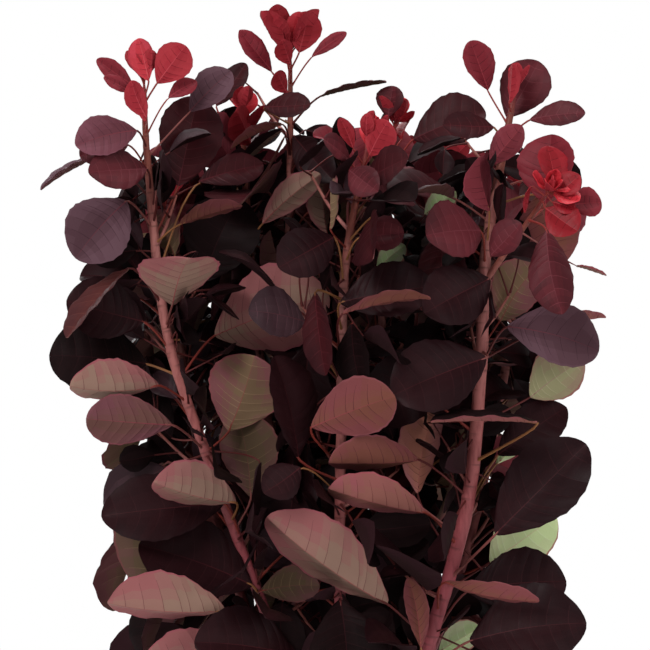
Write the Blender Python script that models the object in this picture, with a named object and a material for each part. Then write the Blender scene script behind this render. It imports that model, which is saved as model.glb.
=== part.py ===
"""A royal purple smoke bush: a young shrub of eleven leafy shoots on one root collar.

Metres, +Z up. The origin is the middle of the flat cut at ground level. The front of the
shrub looks to -Y, with +X to its right. Bearings are compass angles in degrees, seen from
above: 0 is +X, 90 is +Y at the back, and -90 is the front.
"""

import math
import random
from dataclasses import dataclass
from enum import Enum

import bmesh
import bpy
from mathutils import Vector
from mathutils.bvhtree import BVHTree

MM = 0.001
SEED = 40
GAP = 0.3 * MM

# The root collar: a low flared stump with eight slanted seats round a flat top.
SEATS = 8
FOOT_RADIUS = 27 * MM
WAIST_RADIUS = 20 * MM
RIM_RADIUS = 21 * MM
TOP_RADIUS = 10 * MM
FLARE_HEIGHT = 7 * MM
WAIST_HEIGHT = 17 * MM
RIM_HEIGHT = 26 * MM
SHOULDER_HEIGHT = 35 * MM
TOP_HEIGHT = 40 * MM
INNER_SEAT_RADIUS = 4.4 * MM
UNEVENNESS = (0.12, 0.05, 0.02, 0, 0, 0)
COLLAR_FINISH = ((0.16, 0.10, 0.08), 0.85)

# Stems: bare to BARE_HEIGHT, leafy above it, tapering from a foot to a slender tip.
BARE_HEIGHT = 95 * MM
STEM_TIP_RADIUS = 1.3 * MM
STEM_SIDES = 6
BOUGH_SIDES = 6
STEM_RING_SPACING = 40 * MM
BOUGH_RING_SPACING = 16 * MM
FINE_SPACING = 12 * MM
SEAT_RUN = 5 * MM
TAPER_POWER = 0.35
BOUGH_FINISH = ((0.30, 0.14, 0.11), 0.6)

# A shoot with no path of its own leans out in these shares of its tip's reach.
LEAN_HEIGHTS = (95 * MM, 200 * MM, 320 * MM)
LEAN_SHARES = (0.30, 0.68, 0.93)

# Leaves by the distance of their node below the shoot's tip.
AGE_STOPS = (0, 18 * MM, 50 * MM, 110 * MM, 220 * MM)
NODE_SPACINGS = (3.5 * MM, 5 * MM, 8 * MM, 11.5 * MM, 13 * MM)
BLADE_LENGTHS = (16 * MM, 30 * MM, 52 * MM, 67 * MM, 76 * MM)
STALK_LENGTHS = (4 * MM, 9 * MM, 18 * MM, 27 * MM, 33 * MM)
STALK_LIFTS = (74, 62, 50, 42, 34)
BLADE_PITCHES = (72, 55, 15, -25, -48)
FIRST_NODE = 2 * MM
LEAFY_OFFSET = 6 * MM
SPIRAL = 137.5
# How far a drawn leaf strays from the spiral at its first try, and more at each further one.
STRAY = 0.35
STRAY_STEP = 0.12
BEARING_STRAY = 60
LIFT_STRAY = 25
PITCH_STRAY = 40
SHRINK_STEP = 0.025
STALK_RANGE = (0.85, 1.2)
LENGTH_RANGE = (0.88, 1.1)

# The blade: an obovate sheet, thickest at its midrib, folded and arched along it.
WIDEST_POWER = 1.27
ROUND_POWER = 0.62
BLADE_WIDTHS = (0.66, 0.86)
BLADE_FOLDS = (12, 34)
BLADE_ARCHES = (-0.02, 0.10)
# How far a blade's top side turns to the outside of the crown; some turn their underside.
FACING = (15, 75)
UNDER_FACING = (-75, -35)
UNDER_SHARE = 0.1
MIDRIB_SHARE = 0.02
THINNEST_MIDRIB = 0.8 * MM
STALK_RADIUS = 0.95 * MM
STALK_TAPER = 0.8
STALK_CORNERS = (math.radians(150), math.radians(30), math.radians(-90))
LARGE_LEAF = 44 * MM
LARGE_ROWS = (0.28, 0.60, 0.87)
SMALL_ROWS = (0.36, 0.78)
LEAF_FINISH = ((0.09, 0.025, 0.035), 0.5)

# Room: the crown's reach at some heights, the space kept round a leaf and how often a
# place is tried.
CROWN_CENTRE = Vector((-14 * MM, 8 * MM))
CROWN_HEIGHTS = (30 * MM, 110 * MM, 240 * MM, 310 * MM, 400 * MM, 500 * MM)
CROWN_RADII = (104 * MM, 126 * MM, 130 * MM, 148 * MM, 146 * MM, 60 * MM)
CLEARANCE = 0.7 * MM
ROSETTE_LEAF = 30 * MM
SHARPEST_TURN = math.cos(math.radians(125))
TRIES = 22
FREE_MARGIN = 2.4 * MM
FREE_LIMIT = 0.9
LEAST_SPREAD = 0.2

# A set leaf that finds no room sways by this much more, to one side and the other.
SET_TRIES = 11
SWAY = 4
SET_SHRINK = 0.015
# A drawn leaf this near to a set one's node gives way to it.
NODE_ROOM = 4.2 * MM

# The set leaves are laid out as seen from here. No leaf drawn by chance covers them there,
# or rises over the skyline: its height at some places from left to right.
VIEWPOINT = Vector((-14 * MM, -1500 * MM, 319 * MM))
SKYLINE_PLACES = (-165 * MM, -135 * MM, -95 * MM, -65 * MM, -30 * MM, 30 * MM, 85 * MM, 130 * MM)
SKYLINE_HEIGHTS = (300 * MM, 390 * MM, 433 * MM, 458 * MM, 434 * MM, 438 * MM, 438 * MM, 405 * MM)
OUTLINE_SHARES = (0.05, 0.3, 0.55, 0.8, 0.97)
SHOWN_SHARES = (0.25, 0.5, 0.75)
SHOWN_SIDES = (-0.5, 0, 0.5)
SHOWN_STALK = (0.5, 0.9)
SHOWN_SPACING = 6

# Side twigs of a shoot, by seeded rule: their leaves start older than those of a tip.
TWIG_HEIGHT_SHARES = (0.40, 0.60)
TWIG_STRAY = 0.04
TWIG_LENGTHS = (42 * MM, 66 * MM)
TWIG_SAG = 0.06
TWIG_BARE_SHARE = 0.25
TWIG_TURN = 70
TWIG_RISE = 52
TWIG_SPREAD = 55
TWIG_ROOT_RADIUS = 1.9 * MM
TWIG_AGE = 55 * MM


class Seen(Enum):
    """How a set leaf shows from the front: its top side's turn to there, its fold and arch."""

    TOP = (66, 12, 0.04)
    UNDER = (-72, 12, 0.04)
    MOON = (-46, 29, -0.05)
    EDGE = (5, 16, 0.02)
    BAND = (-20, 14, 0.04)
    FLAT = (0, 14, 0.04)


@dataclass(frozen=True)
class SetLeaf:
    """A leaf set by hand, in millimetres and degrees.

    height is its node's height, bearing and lift the stalk's direction, stalk its length,
    course and pitch the blade's direction, length the blade's length and width its share.
    """

    height: float
    bearing: float
    lift: float
    stalk: float
    course: float
    pitch: float
    seen: Seen
    length: float
    width: float = 0.7


@dataclass(frozen=True)
class Shoot:
    """One stem from the collar to its tip, in millimetres, with its set leaves.

    bearing is that of its foot on the collar: on a slanted seat, or on the flat top if inner.
    via gives places it passes, twig the path of its one set side twig, phase the bearing
    that its leaf spiral starts from, and shows the stretches of height in which the stem
    keeps in sight from the front.
    """

    name: str
    bearing: float
    tip: tuple
    girth: float
    inner: bool = False
    via: tuple = ()
    leaves: tuple = ()
    twig: tuple = ()
    twig_leaves: tuple = ()
    phase: float = 0
    shows: tuple = ()


SHOOTS = (
    Shoot(
        "left_front",
        bearing=225,
        tip=(-110, -50, 449),
        girth=6.4,
        shows=((173, 225), (245, 333), (354, 420)),
        via=((-20, -22, 95), (-51, -38, 179), (-78, -46, 253), (-98, -50, 316), (-108, -50, 405)),
        leaves=(
            SetLeaf(440, -65, 55, 10, -125, 70, Seen.UNDER, 24),
            SetLeaf(437, -35, 50, 13, -20, 50, Seen.UNDER, 26, 0.8),
            SetLeaf(422, -85, 20, 17, -130, 60, Seen.UNDER, 22, 0.6),
            SetLeaf(428, -125, 60, 20, -170, 35, Seen.TOP, 24, 0.5),
            SetLeaf(424, -110, 45, 24, -160, 25, Seen.TOP, 18, 0.5),
            SetLeaf(419, 0, 60, 24, 15, 30, Seen.TOP, 18, 0.6),
            SetLeaf(413, -110, 35, 15, -150, -15, Seen.TOP, 38, 0.62),
            SetLeaf(400, -135, 45, 20, -165, -15, Seen.TOP, 28),
            SetLeaf(390, -95, 45, 16, -145, -5, Seen.TOP, 36),
            SetLeaf(386, 160, 40, 38, -170, -30, Seen.EDGE, 38, 0.6),
            SetLeaf(370, -130, 35, 25, -145, -45, Seen.TOP, 45, 0.8),
            SetLeaf(330, -135, 40, 30, -150, -45, Seen.EDGE, 52, 0.5),
            SetLeaf(305, -145, 45, 22, -160, 15, Seen.TOP, 46, 0.84),
            SetLeaf(292, 170, 20, 18, -175, 5, Seen.TOP, 54, 0.8),
            SetLeaf(278, -135, 25, 22, -155, 0, Seen.MOON, 50),
            SetLeaf(252, -135, 30, 29, -165, 5, Seen.UNDER, 50, 0.6),
            SetLeaf(214, -80, 30, 23, -155, 15, Seen.MOON, 50, 0.74),
            SetLeaf(196, -140, 65, 31, -170, -5, Seen.TOP, 67, 0.58),
            SetLeaf(165, -130, 55, 18, -170, 20, Seen.TOP, 66),
            SetLeaf(150, -130, 25, 45, -165, 5, Seen.MOON, 64, 0.68),
            SetLeaf(124, -150, 30, 45, -155, -5, Seen.MOON, 52),
            SetLeaf(114, -95, 45, 42, -155, 10, Seen.TOP, 60),
            SetLeaf(290, 40, 45, 33, 0, 20, Seen.UNDER, 66, 0.78),
            SetLeaf(251, -25, 40, 18, -20, 70, Seen.UNDER, 44, 0.96),
            SetLeaf(209, -30, 60, 21, 170, 80, Seen.UNDER, 47, 0.8),
            SetLeaf(174, -85, 15, 16, -5, 5, Seen.UNDER, 32, 0.7),
            SetLeaf(366, 60, 50, 36, 40, 75, Seen.TOP, 52),
            SetLeaf(408, 30, 45, 36, 0, 45, Seen.TOP, 32),
            SetLeaf(318, -75, 35, 20, -75, 30, Seen.FLAT, 47, 0.95),
            SetLeaf(362, -40, 30, 20, -15, 15, Seen.BAND, 37, 0.55),
            SetLeaf(346, 45, 60, 58, 20, 15, Seen.TOP, 39, 0.5),
            SetLeaf(334, 45, 15, 31, 20, 65, Seen.TOP, 51, 0.85),
            SetLeaf(345, 60, 35, 20, 155, 60, Seen.UNDER, 28, 0.8),
            SetLeaf(258, 135, 0, 23, 160, 40, Seen.TOP, 33, 0.9),
            SetLeaf(238, 130, 5, 25, 160, 40, Seen.TOP, 27, 0.8),
            SetLeaf(420, -85, 40, 10, -110, 75, Seen.UNDER, 14, 0.7),
        ),
    ),
    Shoot(
        "middle_front",
        bearing=270,
        tip=(9, -64, 415),
        girth=6.6,
        shows=((341, 407),),
        via=((-4, -26, 95), (-6, -46, 190), (-5, -56, 270), (-3, -60, 350)),
        leaves=(
            SetLeaf(401, -65, 40, 10, -40, 55, Seen.UNDER, 22, 0.85),
            SetLeaf(403, -130, 45, 12, -165, 65, Seen.UNDER, 18, 0.45),
            SetLeaf(389, -75, 20, 17, -40, 20, Seen.TOP, 30, 0.8),
            SetLeaf(392, -105, 20, 22, -45, -30, Seen.TOP, 25),
            SetLeaf(396, -140, 50, 12, -140, 30, Seen.TOP, 22, 0.74),
            SetLeaf(363, -55, 30, 25, -90, -35, Seen.TOP, 40, 0.78),
            SetLeaf(339, -110, 60, 30, -145, -25, Seen.TOP, 40),
            SetLeaf(315, -95, 45, 22, -5, 10, Seen.TOP, 51, 0.64),
            SetLeaf(300, -90, 35, 44, -10, 10, Seen.BAND, 48, 0.38),
            SetLeaf(352, -80, 35, 22, -15, 5, Seen.TOP, 27, 0.85),
            SetLeaf(332, -125, 10, 26, -65, -75, Seen.TOP, 46, 0.45),
            SetLeaf(244, -120, 35, 38, -20, 20, Seen.UNDER, 50, 0.66),
            SetLeaf(306, -140, 30, 29, -150, 10, Seen.TOP, 35, 0.86),
            SetLeaf(236, -140, 25, 32, -145, 75, Seen.TOP, 56, 0.8),
            SetLeaf(228, -125, 25, 40, -150, -30, Seen.TOP, 26, 0.8),
            SetLeaf(300, -75, 45, 28, -65, -72, Seen.TOP, 36, 0.66),
        ),
    ),
    Shoot(
        "right_front",
        bearing=315,
        tip=(88, -46, 446),
        girth=8.6,
        shows=((140, 316), (338, 354), (410, 440)),
        via=((29, -24, 95), (42, -36, 148), (62, -48, 223), (69, -54, 300), (72, -54, 360)),
        twig=((71, -55, 342), (84, -63, 361), (96, -71, 378), (102, -82, 388)),
        leaves=(
            SetLeaf(359, -85, 65, 22, -115, 60, Seen.UNDER, 32, 0.76),
            SetLeaf(350, -100, 45, 26, -140, -5, Seen.TOP, 40, 0.84),
            SetLeaf(327, -80, 45, 23, -155, -25, Seen.TOP, 43, 0.8),
            SetLeaf(305, -85, -10, 18, -160, -20, Seen.TOP, 58),
            SetLeaf(246, -50, 25, 54, -170, 0, Seen.EDGE, 59, 0.5),
            SetLeaf(296, -30, 55, 27, 0, -15, Seen.TOP, 52),
            SetLeaf(307, 45, 45, 20, 15, 55, Seen.UNDER, 38, 0.9),
            SetLeaf(266, 20, 25, 34, 5, 35, Seen.UNDER, 36, 0.9),
            SetLeaf(216, 50, 45, 39, 10, 35, Seen.UNDER, 44, 0.34),
            SetLeaf(182, -40, 40, 41, 0, 45, Seen.TOP, 69, 0.62),
            SetLeaf(176, 35, 25, 34, 5, 35, Seen.UNDER, 46, 0.84),
            SetLeaf(165, -85, 35, 33, -5, -10, Seen.MOON, 52, 0.32),
            SetLeaf(146, -10, 55, 37, 5, 5, Seen.TOP, 55),
            SetLeaf(129, -35, 35, 38, -10, 10, Seen.TOP, 64, 0.74),
            SetLeaf(201, -130, 35, 34, -160, 15, Seen.MOON, 58, 0.52),
            SetLeaf(149, -135, 35, 39, -160, 35, Seen.MOON, 84, 0.54),
            SetLeaf(227, -158, 35, 37, -168, 0, Seen.MOON, 52, 0.62),
            SetLeaf(194, 170, 60, 40, 30, 75, Seen.UNDER, 50),
            SetLeaf(425, 170, 60, 22, 180, 70, Seen.TOP, 29, 0.66),
            SetLeaf(424, 90, 30, 12, 10, 60, Seen.TOP, 36, 0.8),
            SetLeaf(432, -100, 35, 8, -80, 75, Seen.UNDER, 22, 0.6),
            SetLeaf(417, -15, 40, 17, -20, 5, Seen.TOP, 31, 0.5),
            SetLeaf(413, -130, 50, 14, -150, 0, Seen.TOP, 33, 0.5),
            SetLeaf(400, -140, 30, 8, -5, 50, Seen.UNDER, 27, 0.62),
            SetLeaf(300, 20, 25, 43, 5, 10, Seen.BAND, 32, 0.5),
            SetLeaf(128, -90, 35, 36, 180, 80, Seen.UNDER, 38, 0.35),
            SetLeaf(128, 60, 30, 26, -5, 30, Seen.UNDER, 27, 0.7),
            SetLeaf(222, 40, 50, 35, 5, 35, Seen.TOP, 46, 0.6),
            SetLeaf(206, -168, 35, 44, 170, 10, Seen.TOP, 47, 0.42),
        ),
        twig_leaves=(
            SetLeaf(372, 10, 45, 15, 60, 80, Seen.FLAT, 38, 0.9),
            SetLeaf(386, 20, 45, 7, 130, 70, Seen.FLAT, 25, 0.85),
            SetLeaf(388, -10, -20, 5, -5, 40, Seen.TOP, 16, 0.9),
            SetLeaf(387, -45, -45, 6, -20, -20, Seen.TOP, 13, 0.75),
            SetLeaf(386, -170, 35, 9, -140, -75, Seen.UNDER, 15, 0.4),
            SetLeaf(384, -75, -40, 7, -25, -35, Seen.TOP, 22, 0.9),
            SetLeaf(380, 0, 5, 16, 10, 5, Seen.TOP, 19, 0.95),
            SetLeaf(374, -65, -15, 22, -45, -75, Seen.TOP, 47, 0.54),
            SetLeaf(368, -25, -30, 36, -5, -20, Seen.EDGE, 17, 0.6),
            SetLeaf(366, -120, -20, 34, -20, 45, Seen.TOP, 24, 0.88),
        ),
    ),
    Shoot("left", bearing=180, tip=(-104, 18, 392), girth=6.2, phase=40),
    Shoot("back_left", bearing=135, tip=(-78, 76, 418), girth=6.6, phase=95),
    Shoot("back", bearing=90, tip=(-14, 92, 402), girth=6.6, phase=10),
    Shoot("back_right", bearing=45, tip=(54, 78, 412), girth=6.6, phase=200),
    Shoot("right", bearing=0, tip=(98, 22, 388), girth=6.2, phase=300),
    Shoot(
        "inner_left",
        bearing=215,
        inner=True,
        tip=(-60, 20, 437),
        girth=5.6,
        via=((-13, 3, 95), (-36, 12, 210), (-53, 18, 330)),
        phase=215,
        leaves=(
            SetLeaf(354, -90, 20, 57, 0, 40, Seen.UNDER, 46, 0.42),
            SetLeaf(422, 165, 50, 25, 5, 55, Seen.TOP, 30, 0.5),
        ),
    ),
    Shoot(
        "inner_back",
        bearing=95,
        inner=True,
        tip=(-33, 10, 470),
        girth=5.6,
        shows=((404, 465),),
        via=((-8, 10, 95), (-24, 14, 200), (-34, 12, 310), (-33, 10, 401)),
        phase=95,
        leaves=(
            SetLeaf(456, -110, 60, 16, -125, 75, Seen.UNDER, 27, 0.66),
            SetLeaf(460, -50, 50, 12, -15, 75, Seen.UNDER, 24, 0.8),
            SetLeaf(452, -90, 35, 17, -125, 60, Seen.UNDER, 15, 0.9),
            SetLeaf(441, -100, 30, 11, -125, 50, Seen.UNDER, 15, 0.8),
            SetLeaf(446, -160, 50, 17, -170, 50, Seen.TOP, 29, 0.5),
            SetLeaf(450, -10, 55, 21, 5, 35, Seen.TOP, 24, 0.36),
            SetLeaf(430, -120, 15, 29, -25, 0, Seen.TOP, 29, 0.56),
            SetLeaf(412, -100, 35, 29, -160, -25, Seen.BAND, 34, 0.55),
            SetLeaf(429, -30, 40, 25, -10, 10, Seen.EDGE, 39, 0.5),
            SetLeaf(415, -80, 35, 14, -45, -40, Seen.TOP, 41, 0.52),
            SetLeaf(385, -45, -30, 33, -105, 80, Seen.UNDER, 31, 0.8),
        ),
    ),
    Shoot(
        "inner_right",
        bearing=335,
        inner=True,
        tip=(25, 5, 429),
        girth=5.6,
        via=((8, -2, 95), (14, 4, 200), (18, 5, 330)),
        phase=-25,
        leaves=(
            SetLeaf(408, -110, 75, 26, 0, 80, Seen.TOP, 18, 0.95),
            SetLeaf(404, -15, 55, 21, -10, 20, Seen.TOP, 44, 0.76),
            SetLeaf(330, -10, 65, 55, 0, 35, Seen.UNDER, 22, 0.7),
            SetLeaf(300, -100, 75, 51, -5, 40, Seen.UNDER, 21, 0.7),
        ),
    ),
)


def clear_scene():
    for thing in list(bpy.data.objects):
        bpy.data.objects.remove(thing, do_unlink=True)


def finish(name, colour, roughness):
    """A plain material of one colour and gloss."""
    material = bpy.data.materials.new(name)
    material.use_nodes = True
    shader = material.node_tree.nodes["Principled BSDF"]
    shader.inputs["Base Color"].default_value = (*colour, 1)
    shader.inputs["Roughness"].default_value = roughness
    shader.inputs["Metallic"].default_value = 0
    return material


def solid(name, points, faces):
    """An object from a closed mesh, its faces turned outward."""
    mesh = bpy.data.meshes.new(name)
    mesh.from_pydata([tuple(p) for p in points], [], faces)
    form = bmesh.new()
    form.from_mesh(mesh)
    bmesh.ops.recalc_face_normals(form, faces=form.faces)
    form.to_mesh(mesh)
    form.free()
    thing = bpy.data.objects.new(name, mesh)
    bpy.context.scene.collection.objects.link(thing)
    return thing


def keep_biggest_island(mesh):
    """Drops loose scraps and the walls of closed hollows, leaving one outer surface."""
    form = bmesh.new()
    form.from_mesh(mesh)
    unseen = set(form.faces)
    islands = []
    while unseen:
        island = [unseen.pop()]
        for face in island:
            for edge in face.edges:
                for other in edge.link_faces:
                    if other in unseen:
                        unseen.remove(other)
                        island.append(other)
        islands.append(island)
    islands.sort(key=len)
    scraps = [face for island in islands[:-1] for face in island]
    bmesh.ops.delete(form, geom=scraps, context="FACES")
    form.to_mesh(mesh)
    form.free()


def heading(bearing, rise):
    """The unit direction at a compass bearing and a rise above level, in degrees."""
    level = math.cos(math.radians(rise))
    return Vector(
        (
            level * math.cos(math.radians(bearing)),
            level * math.sin(math.radians(bearing)),
            math.sin(math.radians(rise)),
        )
    )


def between(stops, values, place):
    """The value at a place, read between the stops; the end values hold beyond them."""
    if place <= stops[0]:
        return values[0]
    for low, high, first, second in zip(stops, stops[1:], values, values[1:]):
        if place <= high:
            return first + (second - first) * (place - low) / (high - low)
    return values[-1]


def by_age(values, below_tip):
    """The value for a node this far below the tip."""
    return between(AGE_STOPS, values, below_tip)


class Path:
    """A smooth curve through points, read by the distance along it."""

    STEPS = 12

    def __init__(self, through):
        ends = [through[0] * 2 - through[1], *through, through[-1] * 2 - through[-2]]
        self.start_way = (through[1] - through[0]).normalized()
        self.points = [through[0]]
        for a, b, c, d in zip(ends, ends[1:], ends[2:], ends[3:]):
            for k in range(1, self.STEPS + 1):
                t = k / self.STEPS
                self.points.append(
                    0.5
                    * (
                        2 * b
                        + (c - a) * t
                        + (2 * a - 5 * b + 4 * c - d) * t**2
                        + (3 * b - a - 3 * c + d) * t**3
                    )
                )
        self.reach = [0.0]
        for a, b in zip(self.points, self.points[1:]):
            self.reach.append(self.reach[-1] + (b - a).length)
        self.length = self.reach[-1]

    def span(self, distance):
        """The piece of the curve at a distance, and the share of it gone."""
        i = 0
        while i < len(self.reach) - 2 and self.reach[i + 1] < distance:
            i += 1
        return i, (distance - self.reach[i]) / (self.reach[i + 1] - self.reach[i])

    def at(self, distance):
        i, share = self.span(distance)
        return self.points[i].lerp(self.points[i + 1], share)

    def along(self, distance):
        """The unit direction of the curve at a distance."""
        if distance <= 0:
            return self.start_way
        i, _ = self.span(distance)
        return (self.points[i + 1] - self.points[i]).normalized()

    def distance_at(self, height):
        """How far along the curve first reaches a height."""
        for i, (a, b) in enumerate(zip(self.points, self.points[1:])):
            if b.z >= height:
                share = max(0.0, (height - a.z) / (b.z - a.z))
                return self.reach[i] + share * (b - a).length
        return self.length


def tube(path, start, end, radius_at, sides, spacing):
    """The points and faces of a tapering tube round a stretch of a path."""
    stops = max(2, math.ceil((end - start) / spacing) + 1)
    points = []
    faces = []
    across = path.along(start).orthogonal().normalized()
    for k in range(stops):
        distance = start + (end - start) * k / (stops - 1)
        along = path.along(distance)
        across = (across - along * across.dot(along)).normalized()
        third = along.cross(across)
        centre = path.at(distance)
        for side in range(sides):
            angle = 2 * math.pi * side / sides
            arm = across * math.cos(angle) + third * math.sin(angle)
            points.append(centre + arm * radius_at(distance))
    for k in range(stops - 1):
        for side in range(sides):
            a = k * sides + side
            b = k * sides + (side + 1) % sides
            faces.append((a, b, b + sides, a + sides))
    faces.append(tuple(range(sides)))
    faces.append(tuple(range((stops - 1) * sides, stops * sides)))
    return points, faces


def seat_of(shoot):
    """The middle of a shoot's seat on the collar, and the way it faces."""
    if shoot.inner:
        foot = heading(shoot.bearing, 0) * INNER_SEAT_RADIUS
        return foot + Vector((0, 0, TOP_HEIGHT)), Vector((0, 0, 1))
    flat = math.cos(math.pi / SEATS)
    low = heading(shoot.bearing, 0) * RIM_RADIUS * flat + Vector((0, 0, RIM_HEIGHT))
    high = heading(shoot.bearing, 0) * TOP_RADIUS * flat + Vector((0, 0, SHOULDER_HEIGHT))
    side = heading(shoot.bearing + 90, 0)
    facing = side.cross(high - low).normalized()
    return (low + high) / 2, facing if facing.z > 0 else -facing


class Stem:
    """A stem or a side twig: its path, its taper and where its leaves begin."""

    def __init__(self, path, root_radius, leafy_from, leaves, phase, age=0):
        self.path = path
        self.age = age
        self.root_radius = root_radius
        self.leafy_from = leafy_from
        self.leaves = leaves
        self.phase = phase

    def radius(self, distance):
        share = min(1.0, distance / self.path.length)
        return STEM_TIP_RADIUS + (self.root_radius - STEM_TIP_RADIUS) * (1 - share) ** TAPER_POWER


@dataclass
class Leaf:
    """One placed leaf: its stalk's ends and its blade's frame."""

    root: Vector
    base: Vector
    along: Vector
    up: Vector
    length: float
    width: float
    fold: float
    arch: float
    below_tip: float
    free_from: float

    @property
    def across(self):
        return self.along.cross(self.up)

    def half_width(self, share):
        """The blade's half width at a share of its length."""
        outline = math.sin(math.pi * min(1.0, share) ** WIDEST_POWER) ** ROUND_POWER
        return self.length * self.width * outline / 2

    def blade_point(self, share, side, grow=0.0):
        """A point of the blade's sheet: side is -1 and 1 at the margins, 0 on the midrib."""
        fold = math.radians(self.fold)
        reach = side * (self.half_width(share) + grow)
        middle = self.base + self.along * self.length * share
        middle = middle + self.up * self.length * self.arch * 4 * share * (1 - share)
        return middle + self.across * reach * math.cos(fold) + self.up * abs(reach) * math.sin(fold)


def stalk_ring(centre, along, across, radius):
    """A ring of a stalk: its left, its right and its keel below."""
    up = across.cross(along)
    return [centre + (across * math.cos(a) + up * math.sin(a)) * radius for a in STALK_CORNERS]


def leaf_form(leaf, clearance=0.0, start=0.0):
    """The points and faces of a leaf: a three-sided stalk that opens into a thin blade.

    The form is this much larger all round, and starts at a share of the stalk.
    """
    rows = LARGE_ROWS if leaf.length > LARGE_LEAF else SMALL_ROWS
    half_thick = max(THINNEST_MIDRIB, leaf.length * MIDRIB_SHARE) / 2 + clearance
    reach = (leaf.base - leaf.root).normalized()
    mitre = (reach + leaf.along).normalized()
    across = (leaf.across - mitre * leaf.across.dot(mitre)).normalized()
    end = stalk_ring(leaf.base, mitre, across, STALK_RADIUS * STALK_TAPER + clearance)
    across = (across - reach * across.dot(reach)).normalized()
    radius = STALK_RADIUS * (1 - (1 - STALK_TAPER) * start) + clearance
    points = stalk_ring(leaf.root.lerp(leaf.base, start), reach, across, radius) + end
    faces = [(0, 1, 2), (0, 1, 4, 3), (1, 2, 5, 4), (2, 0, 3, 5)]
    left, right, keel = (3, 4, 5)
    for share in rows:
        first = len(points)
        middle = leaf.blade_point(share, 0)
        points.append(leaf.blade_point(share, -1, clearance))
        points.append(middle + leaf.up * half_thick)
        points.append(leaf.blade_point(share, 1, clearance))
        points.append(middle - leaf.up * half_thick)
        edge, top, far, under = (first, first + 1, first + 2, first + 3)
        if share == rows[0]:
            faces += [(left, edge, top), (left, top, right), (right, top, far)]
            faces += [(left, keel, under), (left, under, edge)]
            faces += [(keel, right, under), (right, far, under)]
        else:
            faces += [(edge - 4, edge, top, top - 4), (top - 4, top, far, far - 4)]
            faces += [(far - 4, far, under, under - 4), (under - 4, under, edge, edge - 4)]
    tip = len(points)
    points.append(leaf.blade_point(1, 0) + leaf.along * clearance)
    faces += [(edge, tip, top), (top, tip, far), (far, tip, under), (under, tip, edge)]
    return points, faces


class Crown:
    """Keeps the room: what has been placed, and whether a new form would touch it."""

    def __init__(self):
        self.placed = []

    def add(self, form, owner, rosette=False):
        """Keeps a form of its owner's mass; a young leaf is marked as of a rosette."""
        points, faces = form
        tree = BVHTree.FromPolygons([tuple(p) for p in points], faces)
        self.placed.append((*box_of(points), tree, owner, rosette))

    def is_free(self, whole, outer, owner, rosette=False):
        """Whether nothing is touched: by the whole form for other masses, by its outer part
        for its own mass, where young leaves of one rosette may crowd one another."""
        low, high = box_of(whole[0])
        whole_tree, outer_tree = (
            BVHTree.FromPolygons([tuple(p) for p in points], faces)
            for points, faces in (whole, outer)
        )
        for other_low, other_high, other, other_owner, other_rosette in self.placed:
            if any(low[i] > other_high[i] or high[i] < other_low[i] for i in range(3)):
                continue
            if other_owner != owner and whole_tree.overlap(other):
                return False
            crowding = rosette and other_rosette
            if other_owner == owner and not crowding and outer_tree.overlap(other):
                return False
        return True


def box_of(points):
    """The lowest and highest corner of the box round some points."""
    low = Vector([min(p[i] for p in points) for i in range(3)])
    high = Vector([max(p[i] for p in points) for i in range(3)])
    return low, high


class Front:
    """What keeps in sight from the front: points of the set leaves and of some stems."""

    def __init__(self):
        self.points = []

    def seen(self, point):
        """Where a point shows from the viewpoint, and how far away it is."""
        away = point.y - VIEWPOINT.y
        return (point.x - VIEWPOINT.x) / away, (point.z - VIEWPOINT.z) / away, away

    def is_over_skyline(self, leaf):
        """Whether a leaf's blade would rise over the skyline."""
        for share in OUTLINE_SHARES:
            for side in (-1, 1):
                x, z, _ = self.seen(leaf.blade_point(share, side))
                place = VIEWPOINT.x - x * VIEWPOINT.y
                if VIEWPOINT.z - z * VIEWPOINT.y > between(SKYLINE_PLACES, SKYLINE_HEIGHTS, place):
                    return True
        return False

    def show_leaf(self, leaf):
        for share in SHOWN_SHARES:
            for side in SHOWN_SIDES:
                self.points.append(self.seen(leaf.blade_point(share, side)))
        for share in SHOWN_STALK:
            self.points.append(self.seen(leaf.root.lerp(leaf.base, share)))

    def show_stem(self, path, low, high):
        """Keeps the stretch of a stem between two heights, in millimetres, in sight."""
        for height in range(low, high, SHOWN_SPACING):
            self.points.append(self.seen(path.at(path.distance_at(height * MM))))

    def is_hidden_by(self, leaf):
        """Whether a leaf's blade would cover any of the points."""
        rim = [self.seen(leaf.blade_point(share, -1)) for share in OUTLINE_SHARES]
        rim += [self.seen(leaf.blade_point(share, 1)) for share in reversed(OUTLINE_SHARES)]
        nearest = min(away for _, _, away in rim)
        left, right = (f(x for x, _, _ in rim) for f in (min, max))
        low, high = (f(z for _, z, _ in rim) for f in (min, max))
        sides = list(zip(rim, rim[1:] + rim[:1]))
        for x, z, away in self.points:
            if away < nearest or not (left < x < right and low < z < high):
                continue
            crossed = 0
            for (ax, az, _), (bx, bz, _) in sides:
                if (az > z) != (bz > z) and x < ax + (bx - ax) * (z - az) / (bz - az):
                    crossed += 1
            if crossed % 2:
                return True
        return False


def inside_crown(points):
    """Whether every point lies in the crown's space."""
    for point in points:
        reach = (point.xy - CROWN_CENTRE).length
        if point.z < CROWN_HEIGHTS[0] or reach > between(CROWN_HEIGHTS, CROWN_RADII, point.z):
            return False
    return True


def leaf_at(stem, distance, bearing, lift, stalk, along, up, **shape):
    """A leaf on a stem: its stalk leaves the stem's middle and opens into its blade."""
    root = stem.path.at(distance)
    out = heading(bearing, lift)
    beside = out.cross(stem.path.along(distance)).length
    leaving = (stem.radius(distance) + FREE_MARGIN) / (stalk * max(beside, LEAST_SPREAD))
    return Leaf(
        root=root,
        base=root + out * stalk,
        along=along,
        up=(up - along * up.dot(along)).normalized(),
        below_tip=stem.path.length - distance + stem.age,
        free_from=min(FREE_LIMIT, leaving),
        **shape,
    )


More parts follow.
